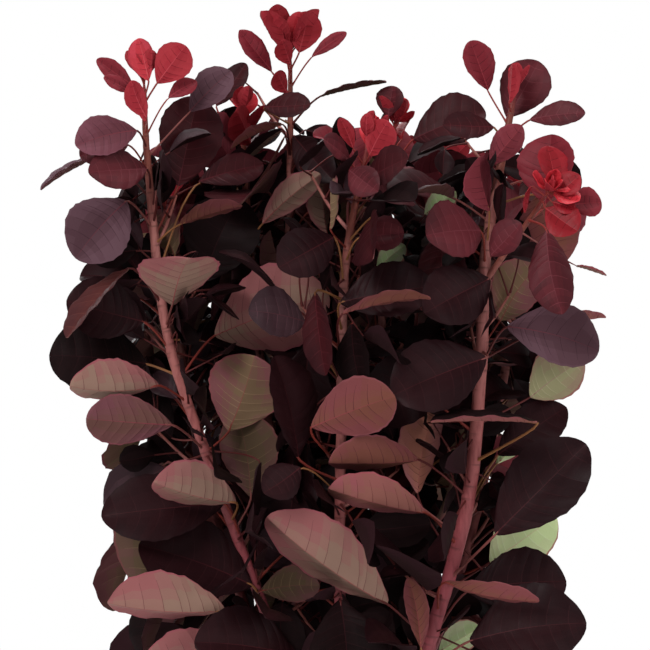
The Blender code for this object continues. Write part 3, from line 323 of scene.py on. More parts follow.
SHOOTS: tuple[Shoot, ...] = (
    Shoot(
        "left_front",
        bearing=225,
        tip=(-110, -50, 449),
        girth=6.4,
        shows=((173, 225), (245, 333), (354, 420)),
        via=((-20, -22, 95), (-51, -38, 179), (-78, -46, 253), (-98, -50, 316), (-108, -50, 405)),
        leaves=(
            SetLeaf(440, -65, 55, 10, -125, 70, Seen.UNDER, 24, tint=UnderDress.BRIGHT),
            SetLeaf(437, -35, 50, 13, -20, 50, Seen.UNDER, 26, 0.8, UnderDress.YOUNG),
            SetLeaf(422, -85, 20, 17, -130, 60, Seen.UNDER, 22, 0.6, UnderDress.YOUNG),
            SetLeaf(428, -125, 60, 20, -170, 35, Seen.TOP, 24, 0.5, TopDress.RED),
            SetLeaf(424, -110, 45, 24, -160, 25, Seen.TOP, 18, 0.5, TopDress.RED),
            SetLeaf(419, 0, 60, 24, 15, 30, Seen.TOP, 18, 0.6, TopDress.RED),
            SetLeaf(413, -110, 35, 15, -150, -15, Seen.TOP, 38, 0.62, TopDress.PLUM),
            SetLeaf(400, -135, 45, 20, -165, -15, Seen.TOP, 28, tint=TopDress.WINE),
            SetLeaf(390, -95, 45, 16, -145, -5, Seen.TOP, 36, tint=TopDress.WINE),
            SetLeaf(386, 160, 40, 38, -170, -30, Seen.EDGE, 38, 0.6, TopDress.BLOOM),
            SetLeaf(370, -130, 35, 25, -145, -45, Seen.TOP, 45, 0.8, TopDress.BLOOM),
            SetLeaf(330, -135, 40, 30, -150, -45, Seen.EDGE, 52, 0.5, TopDress.RUST),
            SetLeaf(305, -145, 45, 22, -160, 15, Seen.TOP, 46, 0.84, TopDress.DARK),
            SetLeaf(292, 170, 20, 18, -175, 5, Seen.TOP, 54, 0.8, TopDress.BLACK),
            SetLeaf(278, -135, 25, 22, -155, 0, Seen.MOON, 50, tint=UnderDress.DUSTY),
            SetLeaf(252, -135, 30, 29, -165, 5, Seen.UNDER, 50, 0.6, UnderDress.MAUVE),
            SetLeaf(214, -80, 30, 23, -155, 15, Seen.MOON, 50, 0.74, UnderDress.DUSTY),
            SetLeaf(196, -140, 65, 31, -170, -5, Seen.TOP, 67, 0.58, TopDress.DARK),
            SetLeaf(165, -130, 55, 18, -170, 20, Seen.TOP, 66, tint=TopDress.DARK),
            SetLeaf(150, -130, 25, 45, -165, 5, Seen.MOON, 64, 0.68, UnderDress.DUSTY),
            SetLeaf(124, -150, 30, 45, -155, -5, Seen.MOON, 52, tint=UnderDress.DUSTY),
            SetLeaf(114, -95, 45, 42, -155, 10, Seen.TOP, 60, tint=TopDress.DARK),
            SetLeaf(290, 40, 45, 33, 0, 20, Seen.UNDER, 66, 0.78, UnderDress.DUSTY),
            SetLeaf(251, -25, 40, 18, -20, 70, Seen.UNDER, 44, 0.96, UnderDress.KHAKI),
            SetLeaf(209, -30, 60, 21, 170, 80, Seen.UNDER, 47, 0.8, UnderDress.OLIVE),
            SetLeaf(174, -85, 15, 16, -5, 5, Seen.UNDER, 32, 0.7, UnderDress.OLIVE),
            SetLeaf(366, 60, 50, 36, 40, 75, Seen.TOP, 52, tint=TopDress.MAROON),
            SetLeaf(408, 30, 45, 36, 0, 45, Seen.TOP, 32, tint=TopDress.BLOOM),
            SetLeaf(318, -75, 35, 20, -75, 30, Seen.FLAT, 47, 0.95, UnderDress.DUSTY),
            SetLeaf(362, -40, 30, 20, -15, 15, Seen.BAND, 37, 0.55, UnderDress.CLAY),
            SetLeaf(346, 45, 60, 58, 20, 15, Seen.TOP, 39, 0.5, TopDress.MAROON),
            SetLeaf(334, 45, 15, 31, 20, 65, Seen.TOP, 51, 0.85, TopDress.BLACK),
            SetLeaf(345, 60, 35, 20, 155, 60, Seen.UNDER, 28, 0.8, UnderDress.KHAKI),
            SetLeaf(258, 135, 0, 23, 160, 40, Seen.TOP, 33, 0.9, TopDress.BLACK),
            SetLeaf(238, 130, 5, 25, 160, 40, Seen.TOP, 27, 0.8, TopDress.BLACK),
            SetLeaf(420, -85, 40, 10, -110, 75, Seen.UNDER, 14, 0.7, UnderDress.BRIGHT),
        ),
    ),
    Shoot(
        "middle_front",
        bearing=270,
        tip=(9, -64, 415),
        girth=6.6,
        rose=Rose(1.0, 0, 0.6),
        shows=((341, 407),),
        via=((-4, -26, 95), (-6, -46, 190), (-5, -56, 270), (-3, -60, 350)),
        leaves=(
            SetLeaf(401, -65, 40, 10, -40, 55, Seen.UNDER, 22, 0.85, UnderDress.YOUNG),
            SetLeaf(403, -130, 45, 12, -165, 65, Seen.UNDER, 18, 0.45, UnderDress.CHERRY),
            SetLeaf(389, -75, 20, 17, -40, 20, Seen.TOP, 30, 0.8, TopDress.MAROON),
            SetLeaf(392, -105, 20, 22, -45, -30, Seen.TOP, 25, tint=TopDress.WINE),
            SetLeaf(396, -140, 50, 12, -140, 30, Seen.TOP, 22, 0.74, TopDress.WINE),
            SetLeaf(363, -55, 30, 25, -90, -35, Seen.TOP, 40, 0.78, TopDress.MAROON),
            SetLeaf(339, -110, 60, 30, -145, -25, Seen.TOP, 40, tint=TopDress.DARK),
            SetLeaf(315, -95, 45, 22, -5, 10, Seen.TOP, 51, 0.64, TopDress.DARK),
            SetLeaf(300, -90, 35, 44, -10, 10, Seen.BAND, 48, 0.38, UnderDress.CLAY),
            SetLeaf(352, -80, 35, 22, -15, 5, Seen.TOP, 27, 0.85, TopDress.WINE),
            SetLeaf(332, -125, 10, 26, -65, -75, Seen.TOP, 46, 0.45, TopDress.MAROON),
            SetLeaf(244, -120, 35, 38, -20, 20, Seen.UNDER, 50, 0.66, UnderDress.CLAY),
            SetLeaf(306, -140, 30, 29, -150, 10, Seen.TOP, 35, 0.86, TopDress.HAZE),
            SetLeaf(236, -140, 25, 32, -145, 75, Seen.TOP, 56, 0.8, TopDress.DARK),
            SetLeaf(228, -125, 25, 40, -150, -30, Seen.TOP, 26, 0.8, TopDress.DARK),
            SetLeaf(300, -75, 45, 28, -65, -72, Seen.TOP, 36, 0.66, TopDress.BLACK),
        ),
    ),
    Shoot(
        "right_front",
        bearing=315,
        tip=(88, -46, 446),
        girth=8.6,
        rose=Rose(0.7),
        shows=((140, 316), (338, 354), (410, 440)),
        via=((29, -24, 95), (42, -36, 148), (62, -48, 223), (69, -54, 300), (72, -54, 360)),
        twig=((71, -55, 342), (84, -63, 361), (96, -71, 378), (102, -82, 388)),
        leaves=(
            SetLeaf(359, -85, 65, 22, -115, 60, Seen.UNDER, 32, 0.76, UnderDress.CLARET),
            SetLeaf(350, -100, 45, 26, -140, -5, Seen.TOP, 40, 0.84, TopDress.WINE),
            SetLeaf(327, -80, 45, 23, -155, -25, Seen.TOP, 43, 0.8, TopDress.DARK),
            SetLeaf(305, -85, -10, 18, -160, -20, Seen.TOP, 58, tint=TopDress.DARK),
            SetLeaf(246, -50, 25, 54, -170, 0, Seen.EDGE, 59, 0.5, UnderDress.ROSE),
            SetLeaf(296, -30, 55, 27, 0, -15, Seen.TOP, 52, tint=TopDress.BLOOM),
            SetLeaf(307, 45, 45, 20, 15, 55, Seen.UNDER, 38, 0.9, UnderDress.KHAKI),
            SetLeaf(266, 20, 25, 34, 5, 35, Seen.UNDER, 36, 0.9, UnderDress.MOSS),
            SetLeaf(216, 50, 45, 39, 10, 35, Seen.UNDER, 44, 0.34, UnderDress.GREEN),
            SetLeaf(182, -40, 40, 41, 0, 45, Seen.TOP, 69, 0.62, TopDress.DARK),
            SetLeaf(176, 35, 25, 34, 5, 35, Seen.UNDER, 46, 0.84, UnderDress.PALE),
            SetLeaf(165, -85, 35, 33, -5, -10, Seen.MOON, 52, 0.32, UnderDress.CLAY),
            SetLeaf(146, -10, 55, 37, 5, 5, Seen.TOP, 55, tint=TopDress.DARK),
            SetLeaf(129, -35, 35, 38, -10, 10, Seen.TOP, 64, 0.74, TopDress.DARK),
            SetLeaf(201, -130, 35, 34, -160, 15, Seen.MOON, 58, 0.52, UnderDress.ROSE),
            SetLeaf(149, -135, 35, 39, -160, 35, Seen.MOON, 84, 0.54, UnderDress.DUSTY),
            SetLeaf(227, -158, 35, 37, -168, 0, Seen.MOON, 52, 0.62, UnderDress.CLAY),
            SetLeaf(194, 170, 60, 40, 30, 75, Seen.UNDER, 50, tint=UnderDress.BROWN),
            SetLeaf(425, 170, 60, 22, 180, 70, Seen.TOP, 29, 0.66, TopDress.RED),
            SetLeaf(424, 90, 30, 12, 10, 60, Seen.TOP, 36, 0.8, TopDress.WINE),
            SetLeaf(432, -100, 35, 8, -80, 75, Seen.UNDER, 22, 0.6, UnderDress.YOUNG),
            SetLeaf(417, -15, 40, 17, -20, 5, Seen.TOP, 31, 0.5, TopDress.WINE),
            SetLeaf(413, -130, 50, 14, -150, 0, Seen.TOP, 33, 0.5, TopDress.MAROON),
            SetLeaf(400, -140, 30, 8, -5, 50, Seen.UNDER, 27, 0.62, UnderDress.CLARET),
            SetLeaf(300, 20, 25, 43, 5, 10, Seen.BAND, 32, 0.5, UnderDress.ROSE),
            SetLeaf(128, -90, 35, 36, 180, 80, Seen.UNDER, 38, 0.35, UnderDress.CLAY),
            SetLeaf(128, 60, 30, 26, -5, 30, Seen.UNDER, 27, 0.7, UnderDress.GREEN),
            SetLeaf(222, 40, 50, 35, 5, 35, Seen.TOP, 46, 0.6, TopDress.DARK),
            SetLeaf(206, -168, 35, 44, 170, 10, Seen.TOP, 47, 0.42, TopDress.BLACK),
        ),
        twig_leaves=(
            SetLeaf(372, 10, 45, 15, 60, 80, Seen.FLAT, 38, 0.9, TopDress.RED),
            SetLeaf(386, 20, 45, 7, 130, 70, Seen.FLAT, 25, 0.85, TopDress.CRIMSON),
            SetLeaf(388, -10, -20, 5, -5, 40, Seen.TOP, 16, 0.9, TopDress.CRIMSON),
            SetLeaf(387, -45, -45, 6, -20, -20, Seen.TOP, 13, 0.75, TopDress.CRIMSON),
            SetLeaf(386, -170, 35, 9, -140, -75, Seen.UNDER, 15, 0.4, UnderDress.CHERRY),
            SetLeaf(384, -75, -40, 7, -25, -35, Seen.TOP, 22, 0.9, TopDress.CRIMSON),
            SetLeaf(380, 0, 5, 16, 10, 5, Seen.TOP, 19, 0.95, TopDress.RED),
            SetLeaf(374, -65, -15, 22, -45, -75, Seen.TOP, 47, 0.54, TopDress.WINE),
            SetLeaf(368, -25, -30, 36, -5, -20, Seen.EDGE, 17, 0.6, UnderDress.DUSTY),
            SetLeaf(366, -120, -20, 34, -20, 45, Seen.TOP, 24, 0.88, TopDress.WINE),
        ),
    ),
    Shoot("left", bearing=180, tip=(-104, 18, 392), girth=6.2, phase=40),
    Shoot("back_left", bearing=135, tip=(-78, 76, 418), girth=6.6, phase=95),
    Shoot("back", bearing=90, tip=(-14, 92, 402), girth=6.6, phase=10),
    Shoot("back_right", bearing=45, tip=(54, 78, 412), girth=6.6, phase=200),
    Shoot("right", bearing=0, tip=(98, 22, 388), girth=6.2, phase=300),
    Shoot(
        "inner_left",
        bearing=215,
        inner=True,
        tip=(-60, 20, 437),
        girth=5.6,
        via=((-13, 3, 95), (-36, 12, 210), (-53, 18, 330)),
        phase=215,
        leaves=(
            SetLeaf(354, -90, 20, 57, 0, 40, Seen.UNDER, 46, 0.42, UnderDress.DUSTY),
            SetLeaf(422, 165, 50, 25, 5, 55, Seen.TOP, 30, 0.5, TopDress.MAROON),
        ),
    ),
    Shoot(
        "inner_back",
        bearing=95,
        inner=True,
        tip=(-33, 10, 470),
        girth=5.6,
        rose=Rose(1.6, 6, 0.95),
        shows=((404, 465),),
        via=((-8, 10, 95), (-24, 14, 200), (-34, 12, 310), (-33, 10, 401)),
        phase=95,
        leaves=(
            SetLeaf(456, -110, 60, 16, -125, 75, Seen.UNDER, 27, 0.66, UnderDress.CHERRY),
            SetLeaf(460, -50, 50, 12, -15, 75, Seen.UNDER, 24, 0.8, UnderDress.CHERRY),
            SetLeaf(452, -90, 35, 17, -125, 60, Seen.UNDER, 15, 0.9, UnderDress.CHERRY),
            SetLeaf(441, -100, 30, 11, -125, 50, Seen.UNDER, 15, 0.8, UnderDress.CHERRY),
            SetLeaf(446, -160, 50, 17, -170, 50, Seen.TOP, 29, 0.5, TopDress.RED),
            SetLeaf(450, -10, 55, 21, 5, 35, Seen.TOP, 24, 0.36, TopDress.RED),
            SetLeaf(430, -120, 15, 29, -25, 0, Seen.TOP, 29, 0.56, TopDress.MAROON),
            SetLeaf(412, -100, 35, 29, -160, -25, Seen.BAND, 34, 0.55, UnderDress.CLAY),
            SetLeaf(429, -30, 40, 25, -10, 10, Seen.EDGE, 39, 0.5, UnderDress.OLIVE),
            SetLeaf(415, -80, 35, 14, -45, -40, Seen.TOP, 41, 0.52, TopDress.DARK),
            SetLeaf(385, -45, -30, 33, -105, 80, Seen.UNDER, 31, 0.8, UnderDress.DUSTY),
        ),
    ),
    Shoot(
        "inner_right",
        bearing=335,
        inner=True,
        tip=(25, 5, 429),
        girth=5.6,
        via=((8, -2, 95), (14, 4, 200), (18, 5, 330)),
        phase=-25,
        leaves=(
            SetLeaf(408, -110, 75, 26, 0, 80, Seen.TOP, 18, 0.95, TopDress.WINE),
            SetLeaf(404, -15, 55, 21, -10, 20, Seen.TOP, 44, 0.76, TopDress.MAROON),
            SetLeaf(330, -10, 65, 55, 0, 35, Seen.UNDER, 22, 0.7, UnderDress.GREEN),
            SetLeaf(300, -100, 75, 51, -5, 40, Seen.UNDER, 21, 0.7, UnderDress.GREEN),
        ),
    ),
)


def heading(bearing: float, rise: float) -> Vector:
    """The unit direction at a compass bearing and a rise above level, in degrees.

    Args:
        bearing: degrees from +X towards +Y.
        rise: degrees above level.

    Returns:
        The direction.
    """
    level = math.cos(math.radians(rise))
    return Vector(
        (
            level * math.cos(math.radians(bearing)),
            level * math.sin(math.radians(bearing)),
            math.sin(math.radians(rise)),
        )
    )


def between(stops: Sequence[float], values: Sequence[float], place: float) -> float:
    """The value at a place, read between stops.

    Args:
        stops: rising places.
        values: the value at each stop.
        place: where to read.

    Returns:
        The value there; the end values hold beyond the stops.
    """
    if place <= stops[0]:
        return values[0]
    for low, high, first, second in zip(stops, stops[1:], values, values[1:]):
        if place <= high:
            return first + (second - first) * (place - low) / (high - low)
    return values[-1]


def by_age(values: Sequence[float], below_tip: float) -> float:
    """The value for a node this far below its tip.

    Args:
        values: the value at each of AGE_STOPS.
        below_tip: the node's distance below the tip.

    Returns:
        The value there.
    """
    return between(AGE_STOPS, values, below_tip)


class Path:
    """A smooth curve through points, read by the distance along it."""

    STEPS = 12

    def __init__(self, through: Sequence[Vector]) -> None:
        """Lays the curve.

        Args:
            through: the points that it passes.
        """
        ends = [through[0] * 2 - through[1], *through, through[-1] * 2 - through[-2]]
        self.start_way = (through[1] - through[0]).normalized()
        self.points = [through[0]]
        for a, b, c, d in zip(ends, ends[1:], ends[2:], ends[3:]):
            for k in range(1, self.STEPS + 1):
                t = k / self.STEPS
                self.points.append(
                    0.5
                    * (
                        2 * b
                        + (c - a) * t
                        + (2 * a - 5 * b + 4 * c - d) * t**2
                        + (3 * b - a - 3 * c + d) * t**3
                    )
                )
        self.reach = [0.0]
        for a, b in zip(self.points, self.points[1:]):
            self.reach.append(self.reach[-1] + (b - a).length)
        self.length = self.reach[-1]

    def span(self, distance: float) -> tuple[int, float]:
        """The piece of the curve at a distance.

        Args:
            distance: how far along.

        Returns:
            The piece's number and the share of it gone.
        """
        i = 0
        while i < len(self.reach) - 2 and self.reach[i + 1] < distance:
            i += 1
        return i, (distance - self.reach[i]) / (self.reach[i + 1] - self.reach[i])

    def at(self, distance: float) -> Vector:
        """The point at a distance along the curve."""
        i, share = self.span(distance)
        return self.points[i].lerp(self.points[i + 1], share)

    def along(self, distance: float) -> Vector:
        """The unit direction of the curve at a distance."""
        if distance <= 0:
            return self.start_way
        i, _ = self.span(distance)
        return (self.points[i + 1] - self.points[i]).normalized()

    def smooth_along(self, distance: float) -> Vector:
        """The curve's direction at a distance, evened over a short stretch."""
        ahead = self.at(min(self.length, distance + 4 * MM))
        return (ahead - self.at(max(0.0, distance - 4 * MM))).normalized()

    def distance_at(self, height: float) -> float:
        """How far along the curve first reaches a height.

        Args:
            height: the height in metres.

        Returns:
            The distance, or the whole length.
        """
        for i, (a, b) in enumerate(zip(self.points, self.points[1:])):
            if b.z >= height:
                share = max(0.0, (height - a.z) / (b.z - a.z))
                return self.reach[i] + share * (b - a).length
        return self.length


def tube(
    path: Path,
    start: float,
    end: float,
    radius_at: Callable[[float], float],
    sides: int,
    spacing: float,
) -> Form:
    """A tapering tube round a stretch of a path.

    Args:
        path: the path.
        start: where the tube starts along it.
        end: where it ends.
        radius_at: the radius at a distance along the path.
        sides: how many sides it has.
        spacing: how far apart its rings are at most.

    Returns:
        Its points and faces.
    """
    stops = max(2, math.ceil((end - start) / spacing) + 1)
    points: list[Vector] = []
    faces: list[tuple[int, ...]] = []
    across = path.along(start).orthogonal().normalized()
    for k in range(stops):
        distance = start + (end - start) * k / (stops - 1)
        along = path.along(distance)
        across = (across - along * across.dot(along)).normalized()
        third = along.cross(across)
        centre = path.at(distance)
        for side in range(sides):
            angle = 2 * math.pi * side / sides
            arm = across * math.cos(angle) + third * math.sin(angle)
            points.append(centre + arm * radius_at(distance))
    for k in range(stops - 1):
        for side in range(sides):
            a = k * sides + side
            b = k * sides + (side + 1) % sides
            faces.append((a, b, b + sides, a + sides))
    faces.append(tuple(range(sides)))
    faces.append(tuple(range((stops - 1) * sides, stops * sides)))
    return points, faces


def seat_of(shoot: Shoot) -> tuple[Vector, Vector]:
    """The middle of a shoot's seat on the collar, and the way it faces.

    Args:
        shoot: the shoot.

    Returns:
        The seat's middle and its outward direction.
    """
    if shoot.inner:
        foot = heading(shoot.bearing, 0) * INNER_SEAT_RADIUS
        return foot + Vector((0, 0, TOP_HEIGHT)), Vector((0, 0, 1))
    flat = math.cos(math.pi / SEATS)
    low = heading(shoot.bearing, 0) * RIM_RADIUS * flat + Vector((0, 0, RIM_HEIGHT))
    high = heading(shoot.bearing, 0) * TOP_RADIUS * flat + Vector((0, 0, SHOULDER_HEIGHT))
    side = heading(shoot.bearing + 90, 0)
    facing = side.cross(high - low).normalized()
    return (low + high) / 2, facing if facing.z > 0 else -facing


class Stem:
    """A stem or a side twig: its path, its taper and where its leaves begin."""

    def __init__(
        self,
        path: Path,
        root_radius: float,
        leafy_from: float,
        leaves: tuple[SetLeaf, ...],
        phase: float,
        age: float = 0,
        tip_radius: float = STEM_TIP_RADIUS,
    ) -> None:
        """Keeps the stem's sizes.

        Args:
            path: its middle line.
            root_radius: its radius at its foot.
            leafy_from: where along it the leaves begin.
            leaves: its set leaves.
            phase: the bearing that its leaf spiral starts from.
            age: how much older its leaves are than those of a shoot's tip.
            tip_radius: its radius at its tip.
        """
        self.path = path
        self.age = age
        self.root_radius = root_radius
        self.tip_radius = tip_radius
        self.leafy_from = leafy_from
        self.leaves = leaves
        self.phase = phase
        self.nodes: list[tuple[float, float]] = []

    def radius(self, distance: float) -> float:
        """The stem's radius at a distance along it."""
        share = min(1.0, distance / self.path.length)
        return self.tip_radius + (self.root_radius - self.tip_radius) * (1 - share) ** TAPER_POWER


@dataclass
class Leaf:
    """One placed leaf: its stalk's ends and its blade's frame."""

    root: Vector
    base: Vector
    along: Vector
    up: Vector
    length: float
    width: float
    fold: float
    arch: float
    below_tip: float
    free_from: float
    tint: TopDress | UnderDress | None = None
    # An inner leaf lies inside the crown and is dressed in painted shade.
    inner: bool = False

    @property
    def across(self) -> Vector:
        """The blade's direction to its right-hand margin."""
        return self.along.cross(self.up)

    def half_width(self, share: float) -> float:
        """The blade's half width at a share of its length."""
        outline = math.sin(math.pi * min(1.0, share) ** WIDEST_POWER) ** ROUND_POWER
        return self.length * self.width * outline / 2

    def blade_point(self, share: float, side: float, grow: float = 0.0) -> Vector:
        """A point of the blade's plain sheet.

        Args:
            share: the share of the blade's length.
            side: -1 and 1 at the margins, 0 on the midrib.
            grow: how much wider the sheet is taken.

        Returns:
            The point.
        """
        fold = math.radians(self.fold)
        reach = side * (self.half_width(share) + grow)
        middle = self.base + self.along * self.length * share
        middle = middle + self.up * self.length * self.arch * 4 * share * (1 - share)
        return middle + self.across * reach * math.cos(fold) + self.up * abs(reach) * math.sin(fold)


def stalk_ring(centre: Vector, along: Vector, across: Vector, radius: float) -> list[Vector]:
    """A ring of a stalk: its left, its right and its keel below."""
    up = across.cross(along)
    return [centre + (across * math.cos(a) + up * math.sin(a)) * radius for a in STALK_CORNERS]


def leaf_form(leaf: Leaf, clearance: float = 0.0, start: float = 0.0) -> Form:
    """The room that a leaf takes: a three-sided stalk that opens into a thin blade.

    Args:
        leaf: the leaf.
        clearance: how much larger the form is all round.
        start: the share of the stalk that it starts at.

    Returns:
        The form's points and faces.
    """
    rows = LARGE_ROWS if leaf.length > LARGE_LEAF else SMALL_ROWS
    half_thick = max(THINNEST_MIDRIB, leaf.length * MIDRIB_SHARE) / 2 + clearance
    reach = (leaf.base - leaf.root).normalized()
    mitre = (reach + leaf.along).normalized()
    across = (leaf.across - mitre * leaf.across.dot(mitre)).normalized()
    end = stalk_ring(leaf.base, mitre, across, STALK_RADIUS * STALK_TAPER + clearance)
    across = (across - reach * across.dot(reach)).normalized()
    radius = STALK_RADIUS * (1 - (1 - STALK_TAPER) * start) + clearance
    points = stalk_ring(leaf.root.lerp(leaf.base, start), reach, across, radius) + end
    faces: list[tuple[int, ...]] = [(0, 1, 2), (0, 1, 4, 3), (1, 2, 5, 4), (2, 0, 3, 5)]
    left, right, keel = (3, 4, 5)
    for share in rows:
        edge = len(points)
        middle = leaf.blade_point(share, 0)
        points.append(leaf.blade_point(share, -1, clearance))
        points.append(middle + leaf.up * half_thick)
        points.append(leaf.blade_point(share, 1, clearance))
        points.append(middle - leaf.up * half_thick)
        top, far, under = (edge + 1, edge + 2, edge + 3)
        if share == rows[0]:
            faces += [(left, edge, top), (left, top, right), (right, top, far)]
            faces += [(left, keel, under), (left, under, edge)]
            faces += [(keel, right, under), (right, far, under)]
        else:
            faces += [(edge - 4, edge, top, top - 4), (top - 4, top, far, far - 4)]
            faces += [(far - 4, far, under, under - 4), (under - 4, under, edge, edge - 4)]
    tip = len(points)
    points.append(leaf.blade_point(1, 0) + leaf.along * clearance)
    faces += [(edge, tip, top), (top, tip, far), (far, tip, under), (under, tip, edge)]
    return points, faces


def box_of(points: Sequence[Vector]) -> tuple[Vector, Vector]:
    """The lowest and highest corner of the box round some points."""
    low = Vector([min(p[i] for p in points) for i in range(3)])
    high = Vector([max(p[i] for p in points) for i in range(3)])
    return low, high


class Crown:
    """Keeps the room: what has been placed, and whether a new form would touch it."""

    def __init__(self) -> None:
        """Starts with nothing placed."""
        self.placed: list[tuple[Vector, Vector, BVHTree, str, bool]] = []

    def add(self, form: Form, owner: str, rosette: bool = False) -> None:
        """Keeps a form.

        Args:
            form: its points and faces.
            owner: the name of its shoot.
            rosette: whether it is a young leaf of a rosette.
        """
        points, faces = form
        tree = BVHTree.FromPolygons([tuple(p) for p in points], faces)
        self.placed.append((*box_of(points), tree, owner, rosette))

    def is_free(self, whole: Form, outer: Form, owner: str, rosette: bool = False) -> bool:
        """Whether nothing is touched, where the young leaves of a rosette may crowd.

        Args:
            whole: the form tested against other shoots.
            outer: its outer part, tested against its own shoot.
            owner: the name of its shoot.
            rosette: whether it is a young leaf of a rosette.

        Returns:
            True where it is free.
        """
        low, high = box_of(whole[0])
        whole_tree, outer_tree = (
            BVHTree.FromPolygons([tuple(p) for p in points], faces)
            for points, faces in (whole, outer)
        )
        for other_low, other_high, other, other_owner, other_rosette in self.placed:
            if any(low[i] > other_high[i] or high[i] < other_low[i] for i in range(3)):
                continue
            if other_owner != owner and whole_tree.overlap(other):
                return False
            crowding = rosette and other_rosette
            if other_owner == owner and not crowding and outer_tree.overlap(other):
                return False
        return True


class Front:
    """What keeps in sight from the front: points of the set leaves and of some stems."""

    def __init__(self) -> None:
        """Starts with nothing to show."""
        self.points: list[tuple[float, float, float]] = []

    def seen(self, point: Vector) -> tuple[float, float, float]:
        """Where a point shows from the viewpoint, and how far away it is."""
        away = point.y - VIEWPOINT.y
        return (point.x - VIEWPOINT.x) / away, (point.z - VIEWPOINT.z) / away, away

    def show_leaf(self, leaf: Leaf) -> None:
        """Keeps a leaf in sight."""
        self.show_blade(leaf, SHOWN_SHARES, SHOWN_SIDES)
        for share in SHOWN_STALK:
            self.points.append(self.seen(leaf.root.lerp(leaf.base, share)))

    def show_blade(self, leaf: Leaf, shares: Sequence[float], sides: Sequence[float]) -> None:
        """Keeps a net of points of a leaf's blade in sight."""
        for share in shares:
            for side in sides:
                self.points.append(self.seen(leaf.blade_point(share, side)))

    def show_stem(self, stem: Stem, span: tuple[int, int], step: int, sides: Sequence[float]) -> None:
        """Keeps lines along a stem between two heights, in millimetres, in sight."""
        for height in range(*span, step):
            distance = stem.path.distance_at(height * MM)
            for side in sides:
                across = Vector((side * stem.radius(distance), 0, 0))
                self.points.append(self.seen(stem.path.at(distance) + across))

    def is_hidden_by(self, leaf: Leaf) -> bool:
        """Whether a leaf's blade would cover any of the points.

        Args:
            leaf: the leaf.

        Returns:
            True where it would.
        """
        rim = [self.seen(leaf.blade_point(share, -1)) for share in OUTLINE_SHARES]
        rim += [self.seen(leaf.blade_point(share, 1)) for share in reversed(OUTLINE_SHARES)]
        nearest = min(away for _, _, away in rim)
        left, right = (f(x for x, _, _ in rim) for f in (min, max))
        low, high = (f(z for _, z, _ in rim) for f in (min, max))
        sides = list(zip(rim, rim[1:] + rim[:1]))
        for x, z, away in self.points:
            if away < nearest or not (left < x < right and low < z < high):
                continue
            crossed = 0
            for (ax, az, _), (bx, bz, _) in sides:
                if (az > z) != (bz > z) and x < ax + (bx - ax) * (z - az) / (bz - az):
                    crossed += 1
            if crossed % 2:
                return True
        return False

    def is_over_skyline(self, leaf: Leaf) -> bool:
        """Whether a leaf's blade would rise over the skyline.

        Args:
            leaf: the leaf.

        Returns:
            True where it would.
        """
        for share in OUTLINE_SHARES:
            for side in (-1, 1):
                x, z, _ = self.seen(leaf.blade_point(share, side))
                place = VIEWPOINT.x - x * VIEWPOINT.y
                if VIEWPOINT.z - z * VIEWPOINT.y > between(SKYLINE_PLACES, SKYLINE_HEIGHTS, place):
                    return True
        return False


def inside_crown(points: Sequence[Vector], share: float = 1.0) -> bool:
    """Whether every point lies in the crown's space, or within a share of its reach."""
    for point in points:
        reach = (point.xy - CROWN_CENTRE).length
        limit = between(CROWN_HEIGHTS, CROWN_RADII, point.z) * share
        if point.z < CROWN_HEIGHTS[0] or reach > limit or point.y < CROWN_FRONT:
            return False
    return True


def leaf_at(
    stem: Stem,
    distance: float,
    out: Vector,
    stalk: float,
    along: Vector,
    up: Vector,
    **shape: object,
) -> Leaf:
    """A leaf on a stem: its stalk leaves the stem's middle and opens into its blade.

    Args:
        stem: the stem.
        distance: its node's place along it.
        out: the stalk's direction.
        stalk: the stalk's length.
        along: the blade's direction.
        up: roughly the way that the blade's top side faces.
        shape: the blade's length, width, fold and arch, and any tint.

    Returns:
        The leaf.
    """
    root = stem.path.at(distance)
    beside = out.cross(stem.path.along(distance)).length
    leaving = (stem.radius(distance) + FREE_MARGIN) / (stalk * max(beside, LEAST_SPREAD))
    return Leaf(
        root=root,
        base=root + out * stalk,
        along=along,
        up=(up - along * up.dot(along)).normalized(),
        below_tip=stem.path.length - distance + stem.age,
        free_from=min(FREE_LIMIT, leaving),
        **shape,
    )


def set_leaf(stem: Stem, spec: SetLeaf, attempt: int) -> Leaf:
    """The leaf of a listed entry; each further attempt sways and shrinks it a little.

    Args:
        stem: the stem that carries it.
        spec: the entry.
        attempt: how many attempts came before.

    Returns:
        The leaf.
    """
    sway = SWAY * ((attempt + 1) // 2) * (-1) ** attempt
    along = heading(spec.course + sway, spec.pitch)
    level_up = (Vector((0, 0, 1)) - along * along.z).normalized()
    side = along.cross(level_up)
    front = side if side.y < 0 else -side
    turn, fold, arch = spec.seen.value
    turn = math.radians(turn)
    return leaf_at(
        stem,
        stem.path.distance_at(spec.height * MM),
        heading(spec.bearing + sway, spec.lift),
        spec.stalk * MM,
        along,
        level_up * math.cos(turn) + front * math.sin(turn),
        length=spec.length * MM * (1 - SET_SHRINK * attempt),
        width=spec.width,
        fold=fold,
        arch=arch,
        tint=spec.tint,
    )


